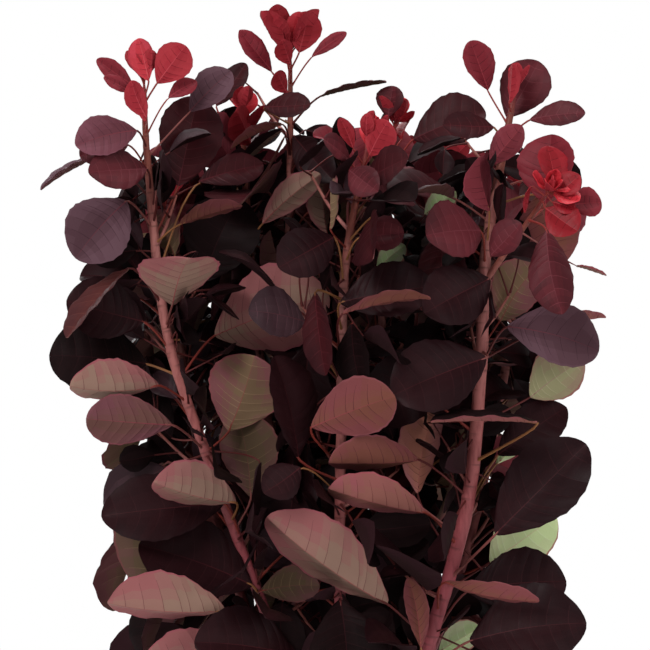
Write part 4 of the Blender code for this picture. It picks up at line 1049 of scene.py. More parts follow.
def drawn_leaf(stem: Stem, distance: float, number: int, attempt: int, draw: random.Random) -> Leaf:
    """A leaf by the spiral rule; each further attempt strays further from it.

    Args:
        stem: the stem that carries it.
        distance: its node's place along the stem.
        number: its number from the tip.
        attempt: how many attempts came before.
        draw: the source of chance.

    Returns:
        The leaf.
    """
    below_tip = stem.path.length - distance + stem.age
    stray = STRAY + STRAY_STEP * attempt
    bearing = stem.phase + number * SPIRAL + draw.uniform(-1, 1) * BEARING_STRAY * stray
    lift = by_age(STALK_LIFTS, below_tip) + draw.uniform(-1, 1) * LIFT_STRAY * stray
    course = bearing + draw.uniform(-1, 1) * BEARING_STRAY * stray
    pitch = by_age(BLADE_PITCHES, below_tip) + draw.uniform(-1, 1) * PITCH_STRAY * stray
    along = heading(course, pitch)
    level_up = (Vector((0, 0, 1)) - along * along.z).normalized()
    outward = (stem.path.at(distance).xy - CROWN_CENTRE).to_3d().normalized()
    facing = math.radians(draw.uniform(*(UNDER_FACING if draw.random() < UNDER_SHARE else FACING)))
    shrink = 1 - SHRINK_STEP * attempt
    return leaf_at(
        stem,
        distance,
        heading(bearing, lift),
        by_age(STALK_LENGTHS, below_tip) * draw.uniform(*STALK_RANGE),
        along,
        level_up * math.cos(facing) + outward * math.sin(facing),
        length=by_age(BLADE_LENGTHS, below_tip) * draw.uniform(*LENGTH_RANGE) * shrink,
        width=draw.uniform(*BLADE_WIDTHS),
        fold=draw.uniform(*BLADE_FOLDS),
        arch=draw.uniform(*BLADE_ARCHES),
    )


def leaf_nodes(stem: Stem) -> Iterator[float]:
    """Distances of a stem's leaf nodes, from its tip down to where it is bare."""
    below_tip = FIRST_NODE
    while stem.path.length - below_tip > stem.leafy_from:
        yield stem.path.length - below_tip
        below_tip += by_age(NODE_SPACINGS, below_tip + stem.age)


class Growth:
    """One shoot's stems and leaves, grown by the rule of the part's source."""

    def __init__(self, shoot: Shoot) -> None:
        """Lays the shoot's main stem.

        Args:
            shoot: the shoot.
        """
        self.shoot = shoot
        seat, facing = seat_of(shoot)
        start = seat + facing * GAP
        tip = Vector(shoot.tip) * MM
        via = [Vector(p) * MM for p in shoot.via] or self.lean(tip)
        path = Path([start, start + facing * SEAT_RUN, *via, tip])
        self.bare = path.distance_at(BARE_HEIGHT)
        leafy_from = self.bare + LEAFY_OFFSET
        self.stems = [Stem(path, shoot.girth / 2 * MM, leafy_from, shoot.leaves, shoot.phase)]
        self.leaves: list[Leaf] = []

    def lean(self, tip: Vector) -> list[Vector]:
        """The places that a shoot with no path of its own passes."""
        return [
            Vector((tip.x * share, tip.y * share, height))
            for share, height in zip(LEAN_SHARES, LEAN_HEIGHTS)
        ]

    def grow_twigs(self, crown: Crown, draw: random.Random) -> None:
        """Adds the side twigs: the one given, or those of the seeded rule.

        Args:
            crown: the room.
            draw: the source of chance.
        """
        main = self.stems[0]
        if self.shoot.twig:
            path = Path([Vector(p) * MM for p in self.shoot.twig])
            self.add_twig(crown, path, self.shoot.twig_leaves)
            return
        if self.shoot.leaves and not self.shoot.inner:
            return
        outward = math.degrees(math.atan2(self.shoot.tip[1], self.shoot.tip[0]))
        for share in TWIG_HEIGHT_SHARES:
            distance = main.path.length * (share + draw.uniform(-1, 1) * TWIG_STRAY)
            root = main.path.at(distance)
            length = draw.uniform(*TWIG_LENGTHS)
            out = heading(outward + draw.uniform(-1, 1) * TWIG_SPREAD, TWIG_RISE)
            tip = root + out * length
            middle = root.lerp(tip, 0.5) - Vector((0, 0, TWIG_SAG * length))
            self.add_twig(crown, Path([root, middle, tip]), (), TWIG_AGE)

    def add_twig(
        self, crown: Crown, path: Path, leaves: tuple[SetLeaf, ...], age: float = 0
    ) -> None:
        """Keeps a side twig if nothing but its own stem is in its way.

        Args:
            crown: the room.
            path: the twig's middle line.
            leaves: its set leaves.
            age: how much older its leaves are than a tip's.
        """
        leafy_from = path.length * TWIG_BARE_SHARE
        phase = self.shoot.phase + TWIG_TURN
        stem = Stem(path, TWIG_ROOT_RADIUS, leafy_from, leaves, phase, age)
        if self.has_room(crown, stem):
            self.stems.append(stem)

    def has_room(self, crown: Crown, stem: Stem) -> bool:
        """Whether a twig is free past its own stem; its room is then taken.

        Args:
            crown: the room.
            stem: the twig.

        Returns:
            True where it is free.
        """
        path = stem.path
        clear = self.stems[0].root_radius * 2 + CLEARANCE
        form = tube(
            path, clear, path.length, lambda d: stem.radius(d) + CLEARANCE, STEM_SIDES, FINE_SPACING
        )
        if not crown.is_free(form, form, self.shoot.name):
            return False
        crown.add(tube(path, 0, path.length, stem.radius, STEM_SIDES, FINE_SPACING), self.shoot.name)
        return True

    def grow_set_leaves(self, crown: Crown, front: Front) -> None:
        """Places the listed leaves, each only where it is free, and keeps them in sight.

        Args:
            crown: the room.
            front: what keeps in sight.
        """
        for stem in self.stems:
            for spec in stem.leaves:
                any(self.keep(crown, set_leaf(stem, spec, n), stem) for n in range(SET_TRIES))
        for leaf in self.leaves:
            front.show_leaf(leaf)
        for span in self.shoot.shows:
            front.show_stem(self.stems[0], span, SHOWN_SPACING, (0,))

    def grow_drawn_leaves(self, crown: Crown, front: Front, draw: random.Random) -> None:
        """Fills the other nodes by the spiral rule, skipping a leaf that finds no room.

        Args:
            crown: the room.
            front: what keeps in sight.
            draw: the source of chance.
        """
        for stem in self.stems:
            taken = [stem.path.distance_at(spec.height * MM) for spec in stem.leaves]
            for number, distance in enumerate(leaf_nodes(stem)):
                near = [t for t in taken if abs(t - distance) < NODE_ROOM]
                if near:
                    taken.remove(near[0])
                    continue
                for attempt in range(TRIES):
                    leaf = drawn_leaf(stem, distance, number, attempt, draw)
                    inside = inside_crown([leaf.blade_point(s, 0) for s in (0.5, 1)])
                    if not inside or front.is_hidden_by(leaf) or front.is_over_skyline(leaf):
                        continue
                    if self.keep(crown, leaf, stem):
                        break

    def grow_whorls(self, crown: Crown, draw: random.Random) -> None:
        """Closes each tip with a whorl of its youngest leaves.

        Args:
            crown: the room.
            draw: the source of chance.
        """
        count = len(self.leaves)
        for stem in [s for s in self.stems if not s.age]:
            way = stem.path.along(stem.path.length)
            rose = self.shoot.rose if stem is self.stems[0] else self.shoot.twig_rose
            for number in range(WHORL_LEAVES):
                share = number / (WHORL_LEAVES - 1)
                side = heading(stem.phase + number * SPIRAL + draw.uniform(-20, 20), 0)
                side = (side - way * side.dot(way)).normalized()
                pitch = between((0, 1), WHORL_PITCHES, share) - rose.opening * share
                pitch = math.radians(pitch + draw.uniform(-8, 8))
                rise = math.radians(between((0, 1), WHORL_RISES, share))
                leaf = leaf_at(
                    stem,
                    stem.path.length - 2 * MM * share,
                    way * math.sin(rise) + side * math.cos(rise),
                    between((0, 1), WHORL_STALKS, share),
                    way * math.sin(pitch) + side * math.cos(pitch),
                    way - side,
                    length=between((0, 1), WHORL_LENGTHS, share) * draw.uniform(0.85, 1.1) * rose.size,
                    width=draw.uniform(0.85, 1.15) * rose.breadth,
                    fold=draw.uniform(14, 30),
                    arch=draw.uniform(-0.12, -0.04),
                )
                self.keep(crown, leaf, stem)
        LOG.info("%s: %d leaves in whorls", self.shoot.name, len(self.leaves) - count)

    def grow_spurs(self, crown: Crown, front: Front, draw: random.Random) -> None:
        """Adds short fine twigs with small leaves inside the crown.

        Args:
            crown: the room.
            front: what keeps in sight.
            draw: the source of chance.
        """
        main = self.stems[0]
        distance = main.path.length - SPUR_AGE
        number = 0
        while distance > main.leafy_from:
            number += 1
            bearing = self.shoot.phase + number * SPIRAL
            if self.shoot.shows:
                bearing = math.degrees(math.acos(math.cos(math.radians(bearing))))
            out = heading(bearing, draw.uniform(*SPUR_RISES))
            root = main.path.at(distance)
            tip = root + out * draw.uniform(*SPUR_LENGTHS)
            bow = root.lerp(tip, 0.5) - Vector((0, 0, TWIG_SAG * (tip - root).length))
            path = Path([root, bow, tip])
            spur = Stem(path, SPUR_RADIUS, path.length * 0.4, (), bearing, SPUR_AGE, SPUR_TIP_RADIUS)
            distance -= SPUR_SPACING
            if inside_crown([tip], SPUR_REACH) and self.has_room(crown, spur):
                self.stems.append(spur)
                nodes = [path.length, *leaf_nodes(spur)]
                self.fill(crown, front, spur, nodes, draw, SPUR_REACH)

    def grow_finer(self, crown: Crown, front: Front, draw: random.Random) -> None:
        """Fills the dark inside with smaller leaves on the same stems, within the same reach.

        Args:
            crown: the room.
            front: what keeps in sight.
            draw: the source of chance.
        """
        for stem in [s for s in self.stems if s.tip_radius == STEM_TIP_RADIUS]:
            count = int((stem.path.length - FINER_START - stem.leafy_from) / FINER_SPACING)
            nodes = [stem.path.length - FINER_START - FINER_SPACING * k for k in range(count)]
            self.fill(crown, front, stem, nodes, draw, FINER_REACH)

    def fill(
        self,
        crown: Crown,
        front: Front,
        stem: Stem,
        nodes: Sequence[float],
        draw: random.Random,
        reach: float,
    ) -> None:
        """Sets smaller leaves at some nodes, within a share of the crown's reach.

        Args:
            crown: the room.
            front: what keeps in sight.
            stem: the stem.
            nodes: the nodes' places along it.
            draw: the source of chance.
            reach: the share of the crown's reach that they keep to.
        """
        for number, distance in enumerate(nodes):
            for attempt in range(TRIES):
                leaf = drawn_leaf(stem, distance, number, attempt + FINER_STRAY, draw)
                leaf.length *= FINER_SIZE
                # An inner leaf is dressed in painted shade.
                leaf.inner = True
                inside = inside_crown([leaf.blade_point(s, 0) for s in (0.5, 1)], reach)
                if not inside or front.is_hidden_by(leaf) or front.is_over_skyline(leaf):
                    continue
                if self.keep(crown, leaf, stem):
                    break

    def fill_nodes(self) -> Iterator[tuple["Growth", Stem, float, Vector]]:
        """Places on the stems that a leaf can still grow from.

        Yields:
            The shoot, the stem, the place along it and its point.
        """
        for stem in self.stems:
            for k in range(int((stem.path.length - stem.leafy_from) / NODE_STEP)):
                distance = stem.leafy_from + k * NODE_STEP
                yield self, stem, distance, stem.path.at(distance)

    def keep(self, crown: Crown, leaf: Leaf, stem: Stem) -> bool:
        """Places a leaf if it is free; young ones of one shoot may crowd one another.

        Args:
            crown: the room.
            leaf: the leaf.
            stem: the stem that carries it.

        Returns:
            True where it was placed.
        """
        rosette = leaf.length < ROSETTE_LEAF
        turns_back = (leaf.base - leaf.root).normalized().dot(leaf.along) < SHARPEST_TURN
        whole = leaf_form(leaf, CLEARANCE)
        outer = leaf_form(leaf, CLEARANCE, leaf.free_from)
        if turns_back or not crown.is_free(whole, outer, self.shoot.name, rosette):
            return False
        crown.add(leaf_form(leaf), self.shoot.name, rosette)
        self.leaves.append(leaf)
        distance = stem.path.length + stem.age - leaf.below_tip
        out = leaf.base - leaf.root
        stem.nodes.append((distance, math.atan2(out.y, out.x)))
        return True


class Sight:
    """The sight lines through the crown from one side, which show where it is open."""

    def __init__(self, bearing: float, growths: Sequence[Growth]) -> None:
        """Looks at what has grown so far.

        Args:
            bearing: the side that it looks from.
            growths: the shoots.
        """
        self.middle = CROWN_CENTRE.to_3d()
        self.across = heading(bearing + 90, 0)
        self.eye = self.middle + heading(bearing, 0) * SIGHT_DISTANCE + Vector((0, 0, VIEWPOINT.z))
        self.cover: list[BVHTree] = []
        for growth in growths:
            for leaf in growth.leaves:
                self.keep(leaf_form(leaf))
            for stem in growth.stems:
                path = stem.path
                self.keep(tube(path, 0, path.length, stem.radius, STEM_SIDES, FINE_SPACING))
        self.join()

    def keep(self, form: Form) -> None:
        """Adds a form to what covers the sky."""
        self.cover.append(form)

    def join(self) -> None:
        """Joins what covers the sky into one tree."""
        points: list[tuple[float, ...]] = []
        faces: list[tuple[int, ...]] = []
        for more_points, more_faces in self.cover:
            count = len(points)
            points += [tuple(p) for p in more_points]
            faces += [tuple(i + count for i in face) for face in more_faces]
        self.tree = BVHTree.FromPolygons(points, faces)

    def is_open(self, target: Vector) -> bool:
        """Whether the sight line through a point meets nothing."""
        return self.tree.ray_cast(self.eye, target - self.eye)[0] is None

    def targets(self) -> Iterator[Vector]:
        """Points through which no sky should show, in a plane across the crown's middle.

        Yields:
            The points, from the lowest row to the highest.
        """
        for row in range(int((CROWN_HEIGHTS[-1] - SIGHT_LOW) / SIGHT_SPACING)):
            height = SIGHT_LOW + row * SIGHT_SPACING
            reach = between(CROWN_HEIGHTS, CROWN_RADII, height) * SIGHT_REACH
            count = int(reach / SIGHT_SPACING)
            for k in range(-count, count + 1):
                point = self.middle + self.across * (k * SIGHT_SPACING) + Vector((0, 0, height))
                skyline = between(SKYLINE_PLACES, SKYLINE_HEIGHTS, point.x)
                if height < skyline - SIGHT_BELOW_SKYLINE and self.is_open(point):
                    yield point

    def leaf_across(self, stem: Stem, distance: float, point: Vector, draw: random.Random) -> Leaf:
        """A leaf that reaches from a node to a point and lies across the sight line there.

        Args:
            stem: the stem.
            distance: the node's place along it.
            point: the point that the blade's middle comes to.
            draw: the source of chance.

        Returns:
            The leaf.
        """
        gap = point - stem.path.at(distance)
        size = min(SIGHT_SIZES[1], gap.length * draw.uniform(0.8, 1.2))
        size = min(size, 2 * (gap.length - SIGHT_STALK))
        out = gap.normalized()
        stray = Vector([draw.uniform(-0.25, 0.25) for _ in range(3)])
        tilt = math.radians(draw.uniform(5, 60))
        back = (self.eye - point).normalized()
        return leaf_at(
            stem,
            distance,
            out,
            gap.length - size / 2,
            (out + stray).normalized(),
            back * math.cos(tilt) + Vector((0, 0, math.sin(tilt))),
            length=size,
            width=draw.uniform(*BLADE_WIDTHS),
            fold=draw.uniform(*BLADE_FOLDS),
            arch=draw.uniform(*BLADE_ARCHES),
            # an inner leaf is dressed in painted shade
            inner=True,
        )

    def close(self, growths: Sequence[Growth], crown: Crown, front: Front, draw: random.Random) -> int:
        """Grows leaves across the open sight lines, dark with painted shade as inner leaves.

        Args:
            growths: the shoots.
            crown: the room.
            front: what keeps in sight.
            draw: the source of chance.

        Returns:
            How many leaves were added.
        """
        nodes = [node for growth in growths for node in growth.fill_nodes()]
        added = 0
        for target in list(self.targets()):
            way = (target - self.eye).normalized()
            for _ in range(SIGHT_TRIES if self.is_open(target) else 0):
                point = target + way * draw.uniform(*SIGHT_DEPTHS)
                reach = [((point - root).length, k) for k, (_, _, _, root) in enumerate(nodes)]
                near = sorted(r for r in reach if r[0] > SIGHT_SIZES[0])[:SIGHT_NODES]
                growth, stem, distance, root = nodes[draw.choice(near)[1]]
                if abs((point - root).normalized().dot(way)) > SIGHT_SLANT:
                    continue
                leaf = self.leaf_across(stem, distance, point, draw)
                inside = inside_crown([leaf.blade_point(s, 0) for s in (0.5, 1)])
                if not inside or front.is_hidden_by(leaf) or front.is_over_skyline(leaf):
                    continue
                if growth.keep(crown, leaf, stem):
                    self.keep(leaf_form(leaf))
                    self.join()
                    added += 1
                    break
        return added


def grow_plant() -> list[Growth]:
    """Grows every shoot in the order of the part's source, then the finer leaves.

    Returns:
        The shoots.
    """
    draw = random.Random(SEED)
    growths = [Growth(shoot) for shoot in SHOOTS]
    crown = Crown()
    front = Front()
    for growth in growths:
        main = growth.stems[0]
        fine = tube(main.path, 0, main.path.length, main.radius, STEM_SIDES, FINE_SPACING)
        crown.add(fine, growth.shoot.name)
    for growth in growths:
        growth.grow_twigs(crown, draw)
    for growth in growths:
        growth.grow_set_leaves(crown, front)
    for growth in growths:
        growth.grow_drawn_leaves(crown, front, draw)
    LOG.info("leaves as in the source: %d", sum(len(g.leaves) for g in growths))
    for leaf in [leaf for growth in growths for leaf in growth.leaves if leaf.tint]:
        front.show_blade(leaf, FINER_SHARES, FINER_SIDES)
    for growth in growths:
        for span in growth.shoot.shows:
            front.show_stem(growth.stems[0], span, FINER_STEM_STEP, FINER_STEM_SIDES)
    finer = random.Random(SEED + 1)
    for growth in growths:
        growth.grow_whorls(crown, finer)
    for growth in growths:
        growth.grow_spurs(crown, front, finer)
    for growth in growths:
        growth.grow_finer(crown, front, finer)
    LOG.info("with the finer ones: %d", sum(len(g.leaves) for g in growths))
    for bearing in SIGHT_SIDES:
        added = Sight(bearing, growths).close(growths, crown, front, finer)
        LOG.info("leaves across open places from %d: %d", bearing, added)
    return growths


def shade(code: str) -> tuple[float, float, float, float]:
    """The linear colour of a six-digit screen colour code."""
    parts = [int(code[i : i + 2], 16) / 255 for i in (0, 2, 4)]
    linear = [((c + 0.055) / 1.055) ** 2.4 if c > 0.04045 else c / 12.92 for c in parts]
    return (linear[0], linear[1], linear[2], 1.0)


def blend(first: str, second: str, share: float) -> str:
    """The colour code a share of the way from one code to another."""
    pairs = [(int(first[i : i + 2], 16), int(second[i : i + 2], 16)) for i in (0, 2, 4)]
    return "".join(f"{round(a + (b - a) * share):02x}" for a, b in pairs)


def add_node(tree: bpy.types.NodeTree, kind: str, **values: object) -> bpy.types.Node:
    """Adds a node and sets its inputs.

    Args:
        tree: the node tree.
        kind: the node's type name.
        values: input values by socket name, with underscores for spaces.

    Returns:
        The node.
    """
    made = tree.nodes.new(kind)
    for name, value in values.items():
        made.inputs[name.replace("_", " ")].default_value = value
    return made


class SkinGrain:
    """The shared grain of leaf skin: a fine net of veinlets over a soft unevenness."""

    NAME = "leaf_skin_grain"

    def group(self) -> bpy.types.NodeTree:
        """The node group, made once.

        Returns:
            The group, with a height and a roughness as its outputs.
        """
        known = bpy.data.node_groups.get(self.NAME)
        if known:
            return known
        tree = bpy.data.node_groups.new(self.NAME, "ShaderNodeTree")
        face = tree.interface
        face.new_socket("Roughness", in_out="INPUT", socket_type="NodeSocketFloat")
        face.new_socket("Height", in_out="OUTPUT", socket_type="NodeSocketFloat")
        face.new_socket("Roughness", in_out="OUTPUT", socket_type="NodeSocketFloat")
        entry = tree.nodes.new("NodeGroupInput")
        leave = tree.nodes.new("NodeGroupOutput")
        place = tree.nodes.new("ShaderNodeTexCoord")
        cells = add_node(tree, "ShaderNodeTexVoronoi", Scale=620.0)
        cells.feature = "DISTANCE_TO_EDGE"
        soft = add_node(tree, "ShaderNodeTexNoise", Scale=140.0, Detail=3.0)
        tree.links.new(place.outputs["Object"], cells.inputs["Vector"])
        tree.links.new(place.outputs["Object"], soft.inputs["Vector"])
        both = tree.nodes.new("ShaderNodeMath")
        both.operation = "MULTIPLY_ADD"
        tree.links.new(soft.outputs["Fac"], both.inputs[0])
        both.inputs[1].default_value = 1.4
        tree.links.new(cells.outputs["Distance"], both.inputs[2])
        tree.links.new(both.outputs[0], leave.inputs["Height"])
        spread = tree.nodes.new("ShaderNodeMath")
        spread.operation = "MULTIPLY_ADD"
        tree.links.new(soft.outputs["Fac"], spread.inputs[0])
        spread.inputs[1].default_value = 0.30
        tree.links.new(entry.outputs["Roughness"], spread.inputs[2])
        tree.links.new(spread.outputs[0], leave.inputs["Roughness"])
        return tree


@dataclass(frozen=True)
class SkinFinish:
    """A plain plant colour with a waxy or matt skin."""

    name: str
    colour: str
    roughness: float = 0.5
    specular: float = 0.2
    relief: float = 0.1

    def material(self) -> bpy.types.Material:
        """The material, made once.

        Returns:
            The material.
        """
        known = bpy.data.materials.get(self.name)
        if known:
            return known
        made = bpy.data.materials.new(self.name)
        made.use_nodes = True
        tree = made.node_tree
        skin = tree.nodes["Principled BSDF"]
        skin.inputs["Base Color"].default_value = shade(self.colour)
        skin.inputs["Specular IOR Level"].default_value = self.specular
        grain = tree.nodes.new("ShaderNodeGroup")
        grain.node_tree = SkinGrain().group()
        grain.inputs["Roughness"].default_value = self.roughness - 0.15
        tree.links.new(grain.outputs["Roughness"], skin.inputs["Roughness"])
        bump = add_node(tree, "ShaderNodeBump", Strength=0.5, Distance=self.relief * MM)
        tree.links.new(grain.outputs["Height"], bump.inputs["Height"])
        tree.links.new(bump.outputs["Normal"], skin.inputs["Normal"])
        return made


ZONES = 4


def finishes_of(dress: SideDress) -> list[SkinFinish]:
    """The finishes of one side of a blade.

    Args:
        dress: the side's colours.

    Returns:
        The skin's zones from the midrib outwards, then the veins, the midrib and the rim.
    """
    codes = {f"skin_{k}": blend(dress.inner, dress.outer, k / (ZONES - 1)) for k in range(ZONES)}
    codes |= {"vein": dress.vein, "midrib": dress.midrib, "rim": dress.rim}
    return [
        SkinFinish(f"{dress.name}_{zone}", code, dress.roughness, dress.specular)
        for zone, code in codes.items()
    ]


class StalkDress(Enum):
    """The stalks."""

    YOUNG = SkinFinish("stalk_young", "8c3430", 0.45)
    RED = SkinFinish("stalk_red", "7a3028", 0.45)
    WINE = SkinFinish("stalk_wine", "54201f", 0.5)
    PINK = SkinFinish("stalk_pink", "7c4440", 0.5)
    AMBER = SkinFinish("stalk_amber", "8a5a38", 0.45)


TOP_AGES = (
    (9 * MM, TopDress.SCARLET),
    (19 * MM, TopDress.CRIMSON),
    (34 * MM, TopDress.RED),
    (56 * MM, TopDress.WINE),
    (95 * MM, TopDress.MAROON),
    (170 * MM, TopDress.DARK),
    (9, TopDress.BLACK),
)
UNDER_AGES = (
    (16 * MM, UnderDress.YOUNG),
    (30 * MM, UnderDress.CHERRY),
    (52 * MM, UnderDress.CLARET),
)
UNDER_CHANCES = (
    (UnderDress.DUSTY, 0.30),
    (UnderDress.MAUVE, 0.34),
    (UnderDress.CLAY, 0.08),
    (UnderDress.KHAKI, 0.18),
    (UnderDress.OLIVE, 0.10),
)
STALK_CHANCES = (
    (StalkDress.RED, 0.35),
    (StalkDress.WINE, 0.20),
    (StalkDress.PINK, 0.20),
    (StalkDress.AMBER, 0.25),
)


@dataclass
class LeafDress:
    """The finishes of one leaf: its top, its underside and its stalk."""

    top: TopDress
    under: UnderDress
    stalk: StalkDress

    @staticmethod
    def draw_for(leaf: Leaf, chance: random.Random) -> "LeafDress":
        """Deals a leaf its colours by its age and by chance, and painted shade inside the crown; a set
        tint comes first.

        Args:
            leaf: the leaf.
            chance: the source of chance.

        Returns:
            The leaf's dress.
        """
        age = leaf.below_tip * chance.uniform(0.85, 1.15)
        top = next(dress for limit, dress in TOP_AGES if age < limit)
        drawn = chance.choices([u for u, _ in UNDER_CHANCES], [w for _, w in UNDER_CHANCES])[0]
        under = next((dress for limit, dress in UNDER_AGES if age < limit), drawn)
        stalk = chance.choices([s for s, _ in STALK_CHANCES], [w for _, w in STALK_CHANCES])[0]
        # Leaves inside the crown are dressed in painted shade: a near-black or dark top, now and then
        # the painted sheen, the dark painted-shade underside and a dark stalk.
        if leaf.inner:
            top = chance.choices([TopDress.BLACK, TopDress.DARK, TopDress.HAZE], [5, 4, 1])[0]
            under = UnderDress.SHADE
            stalk = StalkDress.WINE
        elif age < 30 * MM:
            stalk = StalkDress.YOUNG
        if isinstance(leaf.tint, TopDress):
            top = leaf.tint
        elif isinstance(leaf.tint, UnderDress):
            under = leaf.tint
        return LeafDress(top, under, stalk)


@dataclass
class ArrayMesh:
    """A mesh under way: points, faces and each face's finish, joined from many small shapes."""

    name: str
    points: list[np.ndarray] = field(default_factory=list)
    quads: list[np.ndarray] = field(default_factory=list)
    finishes: list[np.ndarray] = field(default_factory=list)
    slots: dict[str, SkinFinish] = field(default_factory=dict)
    count: int = 0

    def slot_of(self, finish: SkinFinish) -> int:
        """The slot number of a finish, which is added when it is new."""
        self.slots.setdefault(finish.name, finish)
        return list(self.slots).index(finish.name)

    def add(self, points: np.ndarray, faces: np.ndarray, slots: np.ndarray) -> None:
        """Adds a shape.

        Args:
            points: its points, one row each.
            faces: its faces, four point numbers each; a triangle repeats its last.
            slots: each face's slot number.
        """
        self.points.append(points)
        self.quads.append(faces + self.count)
        self.finishes.append(slots)
        self.count += len(points)

    def finish(self) -> bpy.types.Object:
        """The object, with its finishes in its slots.

        Returns:
            The object.
        """
        points = np.concatenate(self.points)
        quads = np.concatenate(self.quads)
        slots = np.concatenate(self.finishes)
        triangle = quads[:, 2] == quads[:, 3]
        sizes = np.where(triangle, 3, 4)
        keep = np.ones(quads.shape, dtype=bool)
        keep[triangle, 3] = False
        mesh = bpy.data.meshes.new(self.name)
        mesh.vertices.add(len(points))
        mesh.vertices.foreach_set("co", points.astype(np.float32).ravel())
        mesh.loops.add(int(sizes.sum()))
        mesh.loops.foreach_set("vertex_index", quads[keep].astype(np.int32))
        mesh.polygons.add(len(quads))
        starts = np.concatenate(([0], np.cumsum(sizes)[:-1]))
        mesh.polygons.foreach_set("loop_start", starts.astype(np.int32))
        mesh.polygons.foreach_set("material_index", slots.astype(np.int32))
        mesh.polygons.foreach_set("use_smooth", np.ones(len(quads), dtype=bool))
        for made in self.slots.values():
            mesh.materials.append(made.material())
        mesh.update(calc_edges=True)
        mesh.validate()
        thing = bpy.data.objects.new(self.name, mesh)
        bpy.context.scene.collection.objects.link(thing)
        return thing


@dataclass(frozen=True)
class BladeDetail:
    """How finely a blade is made: its side veins and its columns from midrib to margin."""

    veins: int
    columns: tuple[float, ...]

    def rows(self) -> list[tuple[float, int]]:
        """Each row's place and kind: 0 plain, 1 and 2 a vein's near and far edge, 3 a crest."""
        places = [0.10 + 0.80 * k / (self.veins - 1) for k in range(self.veins)]
        rows: list[tuple[float, int]] = [(0.014, 0), (0.05, 0)]
        for k, place in enumerate(places):
            rows += [(place, 1), (place, 2)]
            if k < self.veins - 1:
                rows.append(((place + places[k + 1]) / 2, 3))
        rows += [(0.935, 0), (0.968, 0), (0.99, 0)]
        return rows


LARGE_DETAIL = BladeDetail(8, (0.26, 0.52, 0.76, 0.94, 1.0))
MEDIUM_DETAIL = BladeDetail(7, (0.32, 0.64, 0.92, 1.0))
SMALL_DETAIL = BladeDetail(6, (0.45, 0.88, 1.0))
INNER_DETAIL = BladeDetail(4, (0.50, 1.0))


